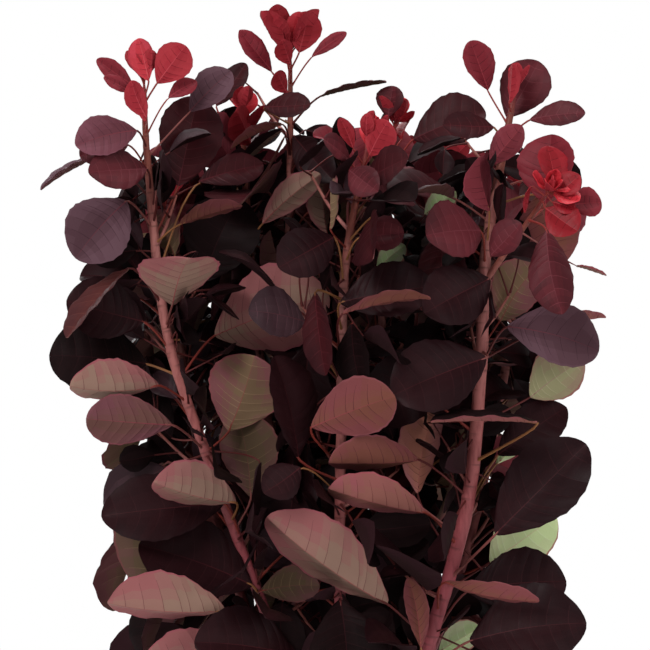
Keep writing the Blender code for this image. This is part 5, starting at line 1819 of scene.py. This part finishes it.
@dataclass
class BladeMaker:
    """Makes a leaf's blade and stalk as arrays: veined, puckered, with a wavy margin."""

    vein_lean: float = 0.17
    vein_stray: float = 0.12
    vein_half_width: float = 0.17 * MM
    midrib_half_width: float = 0.34 * MM
    skin: float = 0.2 * MM
    pucker: float = 0.012
    rib: float = 0.14 * MM
    wave: float = 0.010
    scallop: float = 0.016
    unevenness: float = 0.014
    drift: float = 1.4
    young: float = 30 * MM

    def detail_for(self, leaf: Leaf) -> BladeDetail:
        """The detail that a leaf of this length gets."""
        if leaf.inner:
            return INNER_DETAIL
        if leaf.length > 36 * MM:
            return LARGE_DETAIL
        return MEDIUM_DETAIL if leaf.length > 24 * MM else SMALL_DETAIL

    def add(self, mesh: ArrayMesh, leaf: Leaf, dress: LeafDress, chance: random.Random) -> None:
        """Adds a whole leaf to a mesh.

        Args:
            mesh: the mesh under way.
            leaf: the leaf.
            dress: its colours.
            chance: the source of chance.
        """
        self.add_blade(mesh, leaf, dress, chance)
        self.add_stalk(mesh, leaf, dress)

    def add_blade(
        self, mesh: ArrayMesh, leaf: Leaf, dress: LeafDress, chance: random.Random
    ) -> None:
        """Adds the blade's two sides.

        Args:
            mesh: the mesh under way.
            leaf: the leaf.
            dress: its colours.
            chance: the source of chance.
        """
        detail = self.detail_for(leaf)
        rows = detail.rows()
        place = np.array([r for r, _ in rows])[:, None]
        kind = np.array([k for _, k in rows])[:, None]
        size = leaf.length
        uneven = np.sin(np.pi * place) * np.sin(chance.uniform(8, 12) * place + chance.uniform(0, 6))
        place = place + self.unevenness * uneven
        outline = np.sin(np.pi * place**WIDEST_POWER) ** ROUND_POWER
        ripple = np.where(kind == 3, 1.0, np.where(kind > 0, -1.0, 0.0))
        half = size * leaf.width * outline / 2 * (1 + self.scallop * ripple)
        midrib = np.minimum(0.3, self.midrib_half_width * (1.15 - place) / half)
        sides = [-c for c in reversed(detail.columns)] + [0, 0] + list(detail.columns)
        side = np.tile(np.array(sides, dtype=float), (len(rows), 1))
        centre = len(detail.columns)
        side[:, centre] = -midrib[:, 0]
        side[:, centre + 1] = midrib[:, 0]
        out = np.abs(side)
        lean = self.vein_lean * np.sin(np.pi * place)
        veins = place[kind == 1]
        left, right = (
            np.interp(place, veins, [chance.gauss(0, self.vein_stray) for _ in veins])
            for _ in range(2)
        )
        lean = lean * (1 + np.where(side < 0, left, right))
        along = place - lean + lean * out ** chance.uniform(1.2, 1.7)
        edge = np.where(kind == 1, -1, np.where(kind == 2, 1, 0)) * self.vein_half_width / size
        along = along + edge * (1 - 0.8 * out)
        blunt = chance.uniform(0.0, 0.035)
        along = along - blunt * place**12
        fold = math.radians(leaf.fold)
        cup = chance.uniform(0.8, 1.6) if size < self.young else chance.uniform(-0.6, 0.7)
        lift = half * math.sin(fold) * (out + cup * out * (1 - out))
        lift = lift + size * leaf.arch * 4 * along * (1 - along)
        nod = chance.uniform(0.1, 0.5) if size < self.young else chance.uniform(-0.30, 0.12)
        if leaf.tint:
            nod = nod * 0.4
        lift = lift + size * nod * np.maximum(0, along - 0.5) ** 2
        phase = chance.uniform(0, 6)
        sway = np.sin(2 * np.pi * detail.veins * 0.5 * place + phase * np.sign(side))
        lift = lift + size * self.wave * sway * out**2.5
        swell = 4 * np.clip(out * (1 - out), 0, 1) ** 0.8
        raised = self.pucker * chance.uniform(0.6, 1.3)
        lift = lift + size * raised * np.where(kind == 3, 1.0, 0.0) * swell
        bend = size * chance.uniform(-0.03, 0.03) * np.sin(np.pi * along)
        reach = half * side * math.cos(fold) + bend
        base, way, across, up = (
            np.array(v) for v in (leaf.base, leaf.along, leaf.across, leaf.up)
        )
        middle = (
            base
            + way * (along * size)[..., None]
            + across * reach[..., None]
            + up * lift[..., None]
        )
        thick = self.skin * (1 - out**8)
        rib = np.where((kind == 1) | (kind == 2), self.rib, 0.0) * (1 - out) ** 0.7
        keel = np.zeros_like(out)
        keel[:, centre : centre + 2] = (0.55 * (1 - place) + 0.08) * MM
        top = middle + up * thick[..., None]
        under = middle - up * (thick + rib + keel)[..., None]
        tip = base + way * size * (1 - blunt) + up * lift[-1].mean() + across * bend[-1].mean()
        self.add_side(mesh, top, tip, kind[:, 0], dress.top.value, centre, False, chance)
        self.add_side(mesh, under, tip, kind[:, 0], dress.under.value, centre, True, chance)

    def add_side(
        self,
        mesh: ArrayMesh,
        grid: np.ndarray,
        tip: np.ndarray,
        kind: np.ndarray,
        dress: SideDress,
        centre: int,
        under: bool,
        chance: random.Random,
    ) -> None:
        """Adds one side of a blade as a grid of faces that ends in its tip.

        Args:
            mesh: the mesh under way.
            grid: its points by row and column.
            tip: the tip's point.
            kind: each row's kind.
            dress: the side's colours.
            centre: the column left of the midrib.
            under: whether it is the underside.
            chance: the source of chance.
        """
        *skin, vein, midrib, rim = (mesh.slot_of(f) for f in finishes_of(dress))
        rows, columns = grid.shape[:2]
        i, j = np.meshgrid(np.arange(rows - 1), np.arange(columns - 1), indexing="ij")
        a = (i * columns + j).ravel()
        b = a + 1
        faces = np.stack((a, b, b + columns, a + columns), axis=1)
        steps = columns - 1
        span = np.abs(np.arange(steps) - centre) - 1
        reach = max(1, centre - 1)
        zone = np.round(np.clip(span / reach, 0, 1) * (ZONES - 1)).astype(int)
        zones = np.tile(zone, (rows - 1, 1))
        for half in (slice(0, centre), slice(centre + 1, steps)):
            phase = chance.uniform(0, 6)
            for row in range(rows - 1):
                wave = math.sin(phase + chance.uniform(4, 5) * row / rows)
                shift = round(self.drift * wave + chance.uniform(-0.5, 0.5))
                zones[row, half] = np.clip(zones[row, half] + shift, 0, ZONES - 1)
        zones = np.array(skin)[zones]
        strips = (kind[:-1] == 1) & (kind[1:] == 2)
        zones[strips, 2:-2] = vein
        if under:
            zones[:, 0] = rim
            zones[:, -1] = rim
        zones[:, centre] = midrib
        slots = zones.ravel()
        last = (rows - 1) * columns + np.arange(steps)
        end = np.full(steps, rows * columns)
        fan = np.stack((last, last + 1, end, end), axis=1)
        faces = np.concatenate((faces, fan))
        slots = np.concatenate((slots, zones[-1]))
        if under:
            turned = faces[: -len(fan)][:, [0, 3, 2, 1]]
            faces = np.concatenate((turned, np.stack((last + 1, last, end, end), axis=1)))
        mesh.add(np.concatenate((grid.reshape(-1, 3), tip[None])), faces, slots)

    def add_stalk(self, mesh: ArrayMesh, leaf: Leaf, dress: LeafDress, sides: int = 6) -> None:
        """Adds the stalk: a slender bowed tube that runs out under the midrib.

        Args:
            mesh: the mesh under way.
            leaf: the leaf.
            dress: its colours.
            sides: how many sides the tube has.
        """
        size = leaf.length
        slender = between((10 * MM, 60 * MM), (0.55, 1.0), size)
        straight = (leaf.base - leaf.root).length
        knee = leaf.base - leaf.along * straight * 0.18 - leaf.up * 0.2 * MM
        bow = leaf.root.lerp(leaf.base, 0.55).lerp(knee, 0.35)
        below = leaf.base + leaf.along * size * 0.10 - leaf.up * 0.45 * MM
        below += leaf.up * size * leaf.arch * 0.36
        path = Path([leaf.root, bow, leaf.base - leaf.up * 0.25 * MM, below])
        stops = (0.0, 0.1, 0.2, 0.35, 0.5, 0.65, 0.78, 0.88, 1.0)
        widths = (1.5, 1.25, 1.0, 0.92, 0.88, 0.88, 0.92, 0.8, 0.35)
        points = []
        across = leaf.across
        for stop, width in zip(stops, widths):
            way = path.along(max(1e-6, stop * path.length))
            across = (across - way * across.dot(way)).normalized()
            third = way.cross(across)
            centre = path.at(stop * path.length)
            for k in range(sides):
                angle = 2 * math.pi * k / sides
                arm = across * math.cos(angle) + third * math.sin(angle)
                points.append(centre + arm * 0.8 * MM * width * slender)
        rings = len(stops)
        faces = []
        for ring in range(rings - 1):
            for k in range(sides):
                a = ring * sides + k
                b = ring * sides + (k + 1) % sides
                faces.append((a, b, b + sides, a + sides))
        points.append(path.at(path.length))
        for k in range(sides):
            a = (rings - 1) * sides + k
            b = (rings - 1) * sides + (k + 1) % sides
            faces.append((a, b, rings * sides, rings * sides))
        slot = mesh.slot_of(dress.stalk.value)
        mesh.add(np.array([tuple(p) for p in points]), np.array(faces), np.full(len(faces), slot))


class BarkGrain:
    """The shared grain of rind and bark: long streaks, fine pits and their unevenness."""

    NAME = "bark_grain"

    def group(self) -> bpy.types.NodeTree:
        """The node group, made once.

        Returns:
            The group: a stretch goes in, streaks and a height come out.
        """
        known = bpy.data.node_groups.get(self.NAME)
        if known:
            return known
        tree = bpy.data.node_groups.new(self.NAME, "ShaderNodeTree")
        face = tree.interface
        face.new_socket("Scale", in_out="INPUT", socket_type="NodeSocketFloat")
        face.new_socket("Streaks", in_out="OUTPUT", socket_type="NodeSocketFloat")
        face.new_socket("Height", in_out="OUTPUT", socket_type="NodeSocketFloat")
        entry = tree.nodes.new("NodeGroupInput")
        leave = tree.nodes.new("NodeGroupOutput")
        place = tree.nodes.new("ShaderNodeTexCoord")
        stretch = tree.nodes.new("ShaderNodeMapping")
        stretch.inputs["Scale"].default_value = (1, 1, 0.22)
        tree.links.new(place.outputs["Object"], stretch.inputs["Vector"])
        streaks = add_node(tree, "ShaderNodeTexNoise", Detail=5.0, Roughness=0.6)
        tree.links.new(stretch.outputs["Vector"], streaks.inputs["Vector"])
        tree.links.new(entry.outputs["Scale"], streaks.inputs["Scale"])
        fine = add_node(tree, "ShaderNodeTexNoise", Scale=900.0, Detail=3.0)
        tree.links.new(place.outputs["Object"], fine.inputs["Vector"])
        both = tree.nodes.new("ShaderNodeMath")
        both.operation = "MULTIPLY_ADD"
        tree.links.new(fine.outputs["Fac"], both.inputs[0])
        both.inputs[1].default_value = 0.35
        tree.links.new(streaks.outputs["Fac"], both.inputs[2])
        tree.links.new(streaks.outputs["Fac"], leave.inputs["Streaks"])
        tree.links.new(both.outputs[0], leave.inputs["Height"])
        return tree


@dataclass(frozen=True)
class RindFinish:
    """Rind or bark: a colour by each point's age, streaked, and darker where its scar value is high:
    at a stem's leaf scars, and the deeper a bark fissure runs.
    """

    name: str
    ages: tuple[tuple[float, str], ...]
    streak: str
    streak_share: float
    scar: str
    scale: float
    relief: float
    roughness: float

    def material(self) -> bpy.types.Material:
        """The material, made once.

        Returns:
            The material.
        """
        known = bpy.data.materials.get(self.name)
        if known:
            return known
        made = bpy.data.materials.new(self.name)
        made.use_nodes = True
        tree = made.node_tree
        skin = tree.nodes["Principled BSDF"]
        skin.inputs["Specular IOR Level"].default_value = 0.25
        skin.inputs["Roughness"].default_value = self.roughness
        grain = tree.nodes.new("ShaderNodeGroup")
        grain.node_tree = BarkGrain().group()
        grain.inputs["Scale"].default_value = self.scale
        ramp = self.age_ramp(tree)
        streaked = self.mix(tree, ramp.outputs["Color"], self.streak)
        share = tree.nodes.new("ShaderNodeMapRange")
        share.inputs["From Min"].default_value = 0.45
        share.inputs["From Max"].default_value = 0.7
        share.inputs["To Max"].default_value = self.streak_share
        tree.links.new(grain.outputs["Streaks"], share.inputs["Value"])
        tree.links.new(share.outputs["Result"], streaked.inputs["Factor"])
        scarred = self.mix(tree, streaked.outputs["Result"], self.scar)
        scar = tree.nodes.new("ShaderNodeAttribute")
        scar.attribute_name = "scar"
        tree.links.new(scar.outputs["Fac"], scarred.inputs["Factor"])
        tree.links.new(scarred.outputs["Result"], skin.inputs["Base Color"])
        bump = add_node(tree, "ShaderNodeBump", Strength=0.7, Distance=self.relief * MM)
        tree.links.new(grain.outputs["Height"], bump.inputs["Height"])
        tree.links.new(bump.outputs["Normal"], skin.inputs["Normal"])
        return made

    def age_ramp(self, tree: bpy.types.NodeTree) -> bpy.types.Node:
        """The colour by age, from the tip's at 0 to the oldest at 1."""
        age = tree.nodes.new("ShaderNodeAttribute")
        age.attribute_name = "age"
        ramp = tree.nodes.new("ShaderNodeValToRGB")
        first, *rest, last = self.ages
        ramp.color_ramp.elements[0].color = shade(first[1])
        ramp.color_ramp.elements[1].position = last[0]
        ramp.color_ramp.elements[1].color = shade(last[1])
        for place, code in rest:
            ramp.color_ramp.elements.new(place).color = shade(code)
        tree.links.new(age.outputs["Fac"], ramp.inputs["Fac"])
        return ramp

    def mix(
        self, tree: bpy.types.NodeTree, colour: bpy.types.NodeSocket, other: str
    ) -> bpy.types.Node:
        """A mix of a colour with another by its code."""
        made = tree.nodes.new("ShaderNodeMix")
        made.data_type = "RGBA"
        made.inputs["B"].default_value = shade(other)
        tree.links.new(colour, made.inputs["A"])
        return made


STEM_RIND = RindFinish(
    "stem_rind",
    (
        (0.0, "802a2e"),
        (0.05, "74382c"),
        (0.12, "86463a"),
        (0.26, "b0706a"),
        (0.5, "a05c58"),
        (0.75, "94454c"),
        (1.0, "863e46"),
    ),
    streak="68282c",
    streak_share=0.6,
    scar="4c2622",
    scale=380.0,
    relief=0.15,
    roughness=0.5,
)
BOUGH_BARK = RindFinish(
    "bough_bark",
    ((0.0, "7c5046"), (0.5, "70483e"), (1.0, "5a3c34")),
    streak="8c7468",
    streak_share=0.8,
    scar="2c1a16",
    scale=120.0,
    relief=0.3,
    roughness=0.75,
)
COLLAR_BARK = RindFinish(
    "collar_bark",
    ((0.0, "6a483c"), (0.5, "5c4036"), (1.0, "46322a")),
    streak="8a7464",
    streak_share=0.85,
    scar="241712",
    scale=70.0,
    relief=0.6,
    roughness=0.85,
)


class RingForm:
    """A round form under way: extruded ring by ring, with an age and a scar to each point."""

    def __init__(self, name: str, sides: int) -> None:
        """Starts an empty form.

        Args:
            name: its name.
            sides: how many points a ring has.
        """
        self.name = name
        self.sides = sides
        self.made = bmesh.new()
        self.age = self.made.verts.layers.float.new("age")
        self.scar = self.made.verts.layers.float.new("scar")
        self.ring: list[bmesh.types.BMVert] = []

    def add_ring(self, points: Sequence[Vector], age: float, scars: Sequence[float]) -> None:
        """Extrudes the open end on to one more ring, or starts with it.

        Args:
            points: the ring's points in order.
            age: its share of the stem's age.
            scars: how dark each point is.
        """
        if self.ring:
            edges = [self.made.edges.get((a, b)) for a, b in self.neighbours()]
            grown = bmesh.ops.extrude_edge_only(self.made, edges=edges)["geom"]
            fresh = {g for g in grown if isinstance(g, bmesh.types.BMVert)}
            self.ring = [
                next(e.other_vert(v) for e in v.link_edges if e.other_vert(v) in fresh)
                for v in self.ring
            ]
        else:
            made = bmesh.ops.create_circle(self.made, segments=self.sides, radius=1.0)
            self.ring = self.walk(made["verts"])
            bmesh.ops.contextual_create(self.made, geom=self.ring)
        for vert, point, scar in zip(self.ring, points, scars):
            vert.co = point
            vert[self.age] = age
            vert[self.scar] = scar

    def walk(self, verts: Sequence[bmesh.types.BMVert]) -> list[bmesh.types.BMVert]:
        """The points of a fresh circle in the order in which they follow one another."""
        centre = sum((v.co for v in verts), Vector()) / len(verts)
        return sorted(verts, key=lambda v: math.atan2(v.co.y - centre.y, v.co.x - centre.x))

    def neighbours(self) -> Iterator[tuple[bmesh.types.BMVert, bmesh.types.BMVert]]:
        """Each pair of neighbours on the open ring."""
        return zip(self.ring, self.ring[1:] + self.ring[:1])

    def close(self) -> None:
        """Closes the open end, so that another form can start."""
        bmesh.ops.contextual_create(self.made, geom=self.ring)
        self.ring = []

    def finish(self, rind: RindFinish) -> bpy.types.Object:
        """The object.

        Args:
            rind: its finish.

        Returns:
            The object, its faces outward.
        """
        bmesh.ops.recalc_face_normals(self.made, faces=self.made.faces)
        mesh = bpy.data.meshes.new(self.name)
        self.made.to_mesh(mesh)
        self.made.free()
        mesh.materials.append(rind.material())
        mesh.shade_smooth()
        thing = bpy.data.objects.new(self.name, mesh)
        bpy.context.scene.collection.objects.link(thing)
        return thing


@dataclass
class StemMaker:
    """Makes a shoot's stems: round, with a cushion and a scar where each leaf sits."""

    growth: Growth
    sides: int = 12
    fine_sides: int = 6
    spacing: float = 4 * MM
    cushion: float = 0.08
    slim: float = 0.62
    slim_reach: float = 80 * MM
    cushion_reach: float = 2.4 * MM
    scar_reach: float = 0.7 * MM
    oldest: float = 0.35

    def build(self) -> list[bpy.types.Object]:
        """The thick stems of one shoot as one piece, and its fine twigs as another.

        Returns:
            The objects.
        """
        name = self.growth.shoot.name
        thick = RingForm("stems_" + name, self.sides)
        fine = RingForm("twigs_" + name, self.fine_sides)
        for stem in self.growth.stems:
            start = self.growth.bare + GAP if stem is self.growth.stems[0] else 0.0
            self.add_stem(fine if stem.root_radius == SPUR_RADIUS else thick, stem, start)
        made = [form for form in (thick, fine) if form.made.verts]
        return [form.finish(STEM_RIND) for form in made]

    def add_stem(self, form: RingForm, stem: Stem, start: float) -> None:
        """Adds one stem.

        Args:
            form: the form under way.
            stem: the stem.
            start: where along its path it starts.
        """
        end = stem.path.length
        stops = {start, end}
        for node, _ in stem.nodes:
            for shift in (-2.2, -0.7, 0.0, 0.7, 2.2):
                stops.add(min(end, max(start, node + shift * MM)))
        steps = math.ceil((end - start) / self.spacing)
        stops |= {start + (end - start) * k / steps for k in range(steps)}
        places = sorted(stops)
        places = [p for p, q in zip(places, places[1:]) if q - p > 0.3 * MM] + [end]
        across = stem.path.smooth_along(start).orthogonal().normalized()
        for distance in places:
            way = stem.path.smooth_along(distance)
            across = (across - way * across.dot(way)).normalized()
            third = way.cross(across)
            young = min(1.0, (end - distance + stem.age) / self.slim_reach)
            radius = stem.radius(distance) * (self.slim + (1 - self.slim) * young**0.7)
            radius *= 0.35 if distance == end else 1.0
            near = [n for n in stem.nodes if abs(n[0] - distance) < 2 * self.cushion_reach]
            points = []
            scars = []
            for k in range(form.sides):
                angle = 2 * math.pi * k / form.sides
                arm = across * math.cos(angle) + third * math.sin(angle)
                swell, scar = self.marks(near, distance, arm)
                points.append(stem.path.at(distance) + arm * radius * (1 + swell))
                scars.append(scar)
            age = min(1.0, (end - distance + stem.age) / self.oldest)
            form.add_ring(points, age, scars)
        form.close()

    def marks(
        self, near: Sequence[tuple[float, float]], distance: float, arm: Vector
    ) -> tuple[float, float]:
        """The swelling and the scar at a point of the rind.

        Args:
            near: the nodes nearby, each with its leaf's bearing.
            distance: how far along the stem the point is.
            arm: the direction to it from the stem's middle.

        Returns:
            The swelling and the scar's darkness.
        """
        swell = 0.0
        scar = 0.0
        for node, bearing in near:
            away = distance - node
            facing = max(0.0, arm.x * math.cos(bearing) + arm.y * math.sin(bearing))
            swell += self.cushion * facing * math.exp(-((away / self.cushion_reach) ** 2))
            line = max(0.0, 1 - abs(away + 0.7 * MM) / self.scar_reach)
            scar = max(scar, line * facing**2)
        return min(swell, 2 * self.cushion), scar * 0.7


@dataclass
class BoughMaker:
    """Makes the bare foot of a shoot in bark: fissured along, wider where it stands."""

    growth: Growth
    sides: int = 24
    spacing: float = 1.6 * MM
    foot_swell: float = 0.16
    foot_reach: float = 6 * MM
    fissure: float = 0.13
    oldest: float = 60 * MM

    def build(self) -> bpy.types.Object:
        """The bough of one shoot.

        Returns:
            The object.
        """
        stem = self.growth.stems[0]
        name = self.growth.shoot.name
        form = RingForm("bark_" + name, self.sides)
        across = stem.path.along(0).orthogonal().normalized()
        count = math.ceil(self.growth.bare / self.spacing)
        for k in range(count + 1):
            distance = self.growth.bare * k / count
            way = stem.path.smooth_along(distance) if k else stem.path.along(0)
            across = (across - way * across.dot(way)).normalized()
            third = way.cross(across)
            radius = stem.radius(distance)
            radius *= 1 + self.foot_swell * math.exp(-((distance / self.foot_reach) ** 2))
            points = []
            depths = []
            for side in range(self.sides):
                angle = 2 * math.pi * side / self.sides
                arm = across * math.cos(angle) + third * math.sin(angle)
                depth = self.depth_at(arm, distance, self.growth.shoot.bearing)
                points.append(stem.path.at(distance) + arm * radius * (1 - self.fissure * depth))
                depths.append(depth)
            # The same split depth darkens the bark's colour, darker the deeper the fissure.
            form.add_ring(points, 1 - min(1.0, distance / self.oldest), depths)
        form.close()
        return form.finish(BOUGH_BARK)

    def depth_at(self, arm: Vector, distance: float, number: float) -> float:
        """How deep the bark is split at a point: 0 on its ridges, 1 in a fissure."""
        place = Vector((arm.x * 2.2, arm.y * 2.2, distance * 95 + number))
        split = abs(noise.noise(place)) + 0.35 * abs(noise.noise(place * 2.3))
        return max(0.0, 1 - split * 5.5)


@dataclass
class CollarMaker:
    """Makes the root collar in bark: eight faces, split along, flat where the boughs stand."""

    corner_points: int = 7
    heights: tuple[float, ...] = (
        0, 1.5, 3.5, 5, 7, 9, 11, 13, 15, 17, 19, 21, 23, 24.6, 26, 28, 30.5, 33, 35, 37.5, 40,
    )  # fmt: skip
    fissure: float = 1.5 * MM

    def build(self) -> bpy.types.Object:
        """The collar.

        Returns:
            The object.
        """
        draw = random.Random(SEED)
        uneven = [[1 + u * draw.uniform(-1, 1) for _ in range(SEATS)] for u in (0.12, 0.05, 0.02)]
        sides = SEATS * self.corner_points
        form = RingForm("bark_root_collar", sides)
        for height in self.heights:
            points = []
            depths = []
            for k in range(sides):
                turn = k / self.corner_points
                radius = self.radius_at(height * MM, turn, uneven)
                arm = heading((turn + 0.5) * 360 / SEATS, 0)
                depth = self.depth_at(arm, height) * min(1.0, max(0.0, (27 - height) / 8))
                points.append(arm * (radius - self.fissure * depth) + Vector((0, 0, height * MM)))
                depths.append(depth)
            # The same split depth darkens the bark's colour, darker the deeper the fissure.
            form.add_ring(points, 1 - height / self.heights[-1], depths)
        form.close()
        return form.finish(COLLAR_BARK)

    def radius_at(self, height: float, turn: float, uneven: list[list[float]]) -> float:
        """The plain radius of the eight-sided collar.

        Args:
            height: the height above ground.
            turn: how many corners round it the point is.
            uneven: the unevenness of each corner of the three lowest rings.

        Returns:
            The radius.
        """
        heights = (0, FLARE_HEIGHT, WAIST_HEIGHT, RIM_HEIGHT, SHOULDER_HEIGHT, TOP_HEIGHT)
        middle = (FOOT_RADIUS + WAIST_RADIUS) / 2
        radii = (FOOT_RADIUS, middle, WAIST_RADIUS, RIM_RADIUS, TOP_RADIUS, TOP_RADIUS)
        corner = int(turn)
        share = turn - corner
        ends = []
        for at in (corner % SEATS, (corner + 1) % SEATS):
            spread = [ring[at] for ring in uneven] + [1.0, 1.0, 1.0]
            ends.append(between(heights, [r * u for r, u in zip(radii, spread)], height))
        first = Vector((ends[0], 0))
        turned = 2 * math.pi / SEATS
        second = Vector((math.cos(turned), math.sin(turned))) * ends[1]
        angle = share * turned
        across = first.x * second.y / (
            first.x * math.sin(angle) + second.length * math.sin(turned - angle)
        )
        return across

    def depth_at(self, arm: Vector, height: float) -> float:
        """How deep the bark is split at a point: 0 on its ridges, 1 in a fissure."""
        place = Vector((arm.x * 3.4, arm.y * 3.4, height * 0.035))
        split = abs(noise.noise(place)) + 0.4 * abs(noise.noise(place * 2.7))
        return max(0.0, 1 - split * 4.5)


@dataclass
class Studio:
    """The pale floor, the soft light, the white surround and the camera."""

    eye: Vector = field(default_factory=lambda: Vector((-13.75 * MM, -1.5, 319 * MM)))
    lens: float = 151.05
    floor_radius: float = 1.1

    def build(self) -> None:
        """Sets up the floor, the surround, the lights and the camera."""
        self.build_floor()
        self.build_surround()
        aim = Vector((0, 0, 0.3))
        self.build_light("key", Vector((-1.1, -1.9, 1.7)), aim, 1.1, 36)
        self.build_light("fill", Vector((1.7, -1.6, 0.9)), aim, 1.4, 12)
        self.build_light("top", Vector((0.2, 0.3, 2.2)), aim, 1.2, 24)
        self.build_light("rear", Vector((-0.6, 1.9, 1.2)), aim, 1.4, 18)
        self.build_camera()

    def build_floor(self) -> None:
        """A plain pale disc."""
        made = bmesh.new()
        bmesh.ops.create_circle(made, cap_ends=True, segments=96, radius=self.floor_radius)
        mesh = bpy.data.meshes.new("floor")
        made.to_mesh(mesh)
        made.free()
        pale = bpy.data.materials.new("pale_floor")
        pale.use_nodes = True
        skin = pale.node_tree.nodes["Principled BSDF"]
        skin.inputs["Base Color"].default_value = (0.86, 0.86, 0.86, 1)
        skin.inputs["Roughness"].default_value = 0.9
        mesh.materials.append(pale)
        floor = bpy.data.objects.new("floor", mesh)
        floor.location.z = -0.2 * MM
        bpy.context.scene.collection.objects.link(floor)
        floor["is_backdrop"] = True

    def build_surround(self) -> None:
        """White to the eye, dimmer as a light, so that the crown keeps its dark inside."""
        world = bpy.data.worlds.new("surround")
        bpy.context.scene.world = world
        world.use_nodes = True
        tree = world.node_tree
        tree.nodes.clear()
        seen = add_node(tree, "ShaderNodeBackground", Color=(1, 1, 1, 1), Strength=1.0)
        dim = add_node(tree, "ShaderNodeBackground", Color=(1, 1, 1, 1), Strength=0.43)
        path = tree.nodes.new("ShaderNodeLightPath")
        mix = tree.nodes.new("ShaderNodeMixShader")
        out = tree.nodes.new("ShaderNodeOutputWorld")
        tree.links.new(path.outputs["Is Camera Ray"], mix.inputs[0])
        tree.links.new(dim.outputs[0], mix.inputs[1])
        tree.links.new(seen.outputs[0], mix.inputs[2])
        tree.links.new(mix.outputs[0], out.inputs["Surface"])

    def build_light(self, name: str, place: Vector, aim: Vector, size: float, power: float) -> None:
        """Adds a soft square lamp.

        Args:
            name: the lamp's name.
            place: where it hangs.
            aim: the point that it faces.
            size: the length of its side.
            power: its power in watts.
        """
        lamp = bpy.data.lights.new(name, "AREA")
        lamp.size = size
        lamp.energy = power
        thing = bpy.data.objects.new(name, lamp)
        thing.location = place
        thing.rotation_euler = (aim - place).to_track_quat("-Z", "Y").to_euler()
        bpy.context.scene.collection.objects.link(thing)

    def build_camera(self) -> None:
        """A level camera that frames the upper crown as the photograph does."""
        lens = bpy.data.cameras.new("camera")
        lens.lens = self.lens
        lens.sensor_width = 36
        camera = bpy.data.objects.new("camera", lens)
        camera.location = self.eye
        camera.rotation_euler = (math.pi / 2, 0, 0)
        bpy.context.scene.collection.objects.link(camera)
        bpy.context.scene.camera = camera
        bpy.context.scene.view_settings.view_transform = "Standard"


def place(piece: bpy.types.Object, node: str, slot: str) -> None:
    """Lets a piece stand for a node of the part.

    Args:
        piece: the piece.
        node: the node's name.
        slot: not used.
    """
    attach(piece, "root")
    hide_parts(node)
    LOG.info("%s: %d faces", piece.name, len(piece.data.polygons))


def main() -> None:
    """Grows the plant, dresses each piece and sets up the studio."""
    logging.basicConfig(level=logging.INFO, format="%(name)s: %(message)s")
    cad_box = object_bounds()
    maker = BladeMaker()
    chance = random.Random(SEED + 2)
    place(CollarMaker().build(), "root_collar", "collar_bark")
    for growth in grow_plant():
        name = growth.shoot.name
        mesh = ArrayMesh("foliage_" + name)
        for leaf in growth.leaves:
            maker.add(mesh, leaf, LeafDress.draw_for(leaf, chance), chance)
        place(mesh.finish(), "shoot_" + name, "foliage")
        for stems in StemMaker(growth).build():
            place(stems, "shoot_" + name, "foliage")
        place(BoughMaker(growth).build(), "bough_" + name, "stem_bark")
    Studio().build()
    sizes = {"cad": cad_box, "visual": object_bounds()}
    {k: [[float(x) for x in corner] for corner in v] for k, v in sizes.items()}


if __name__ == "__main__":
    main()
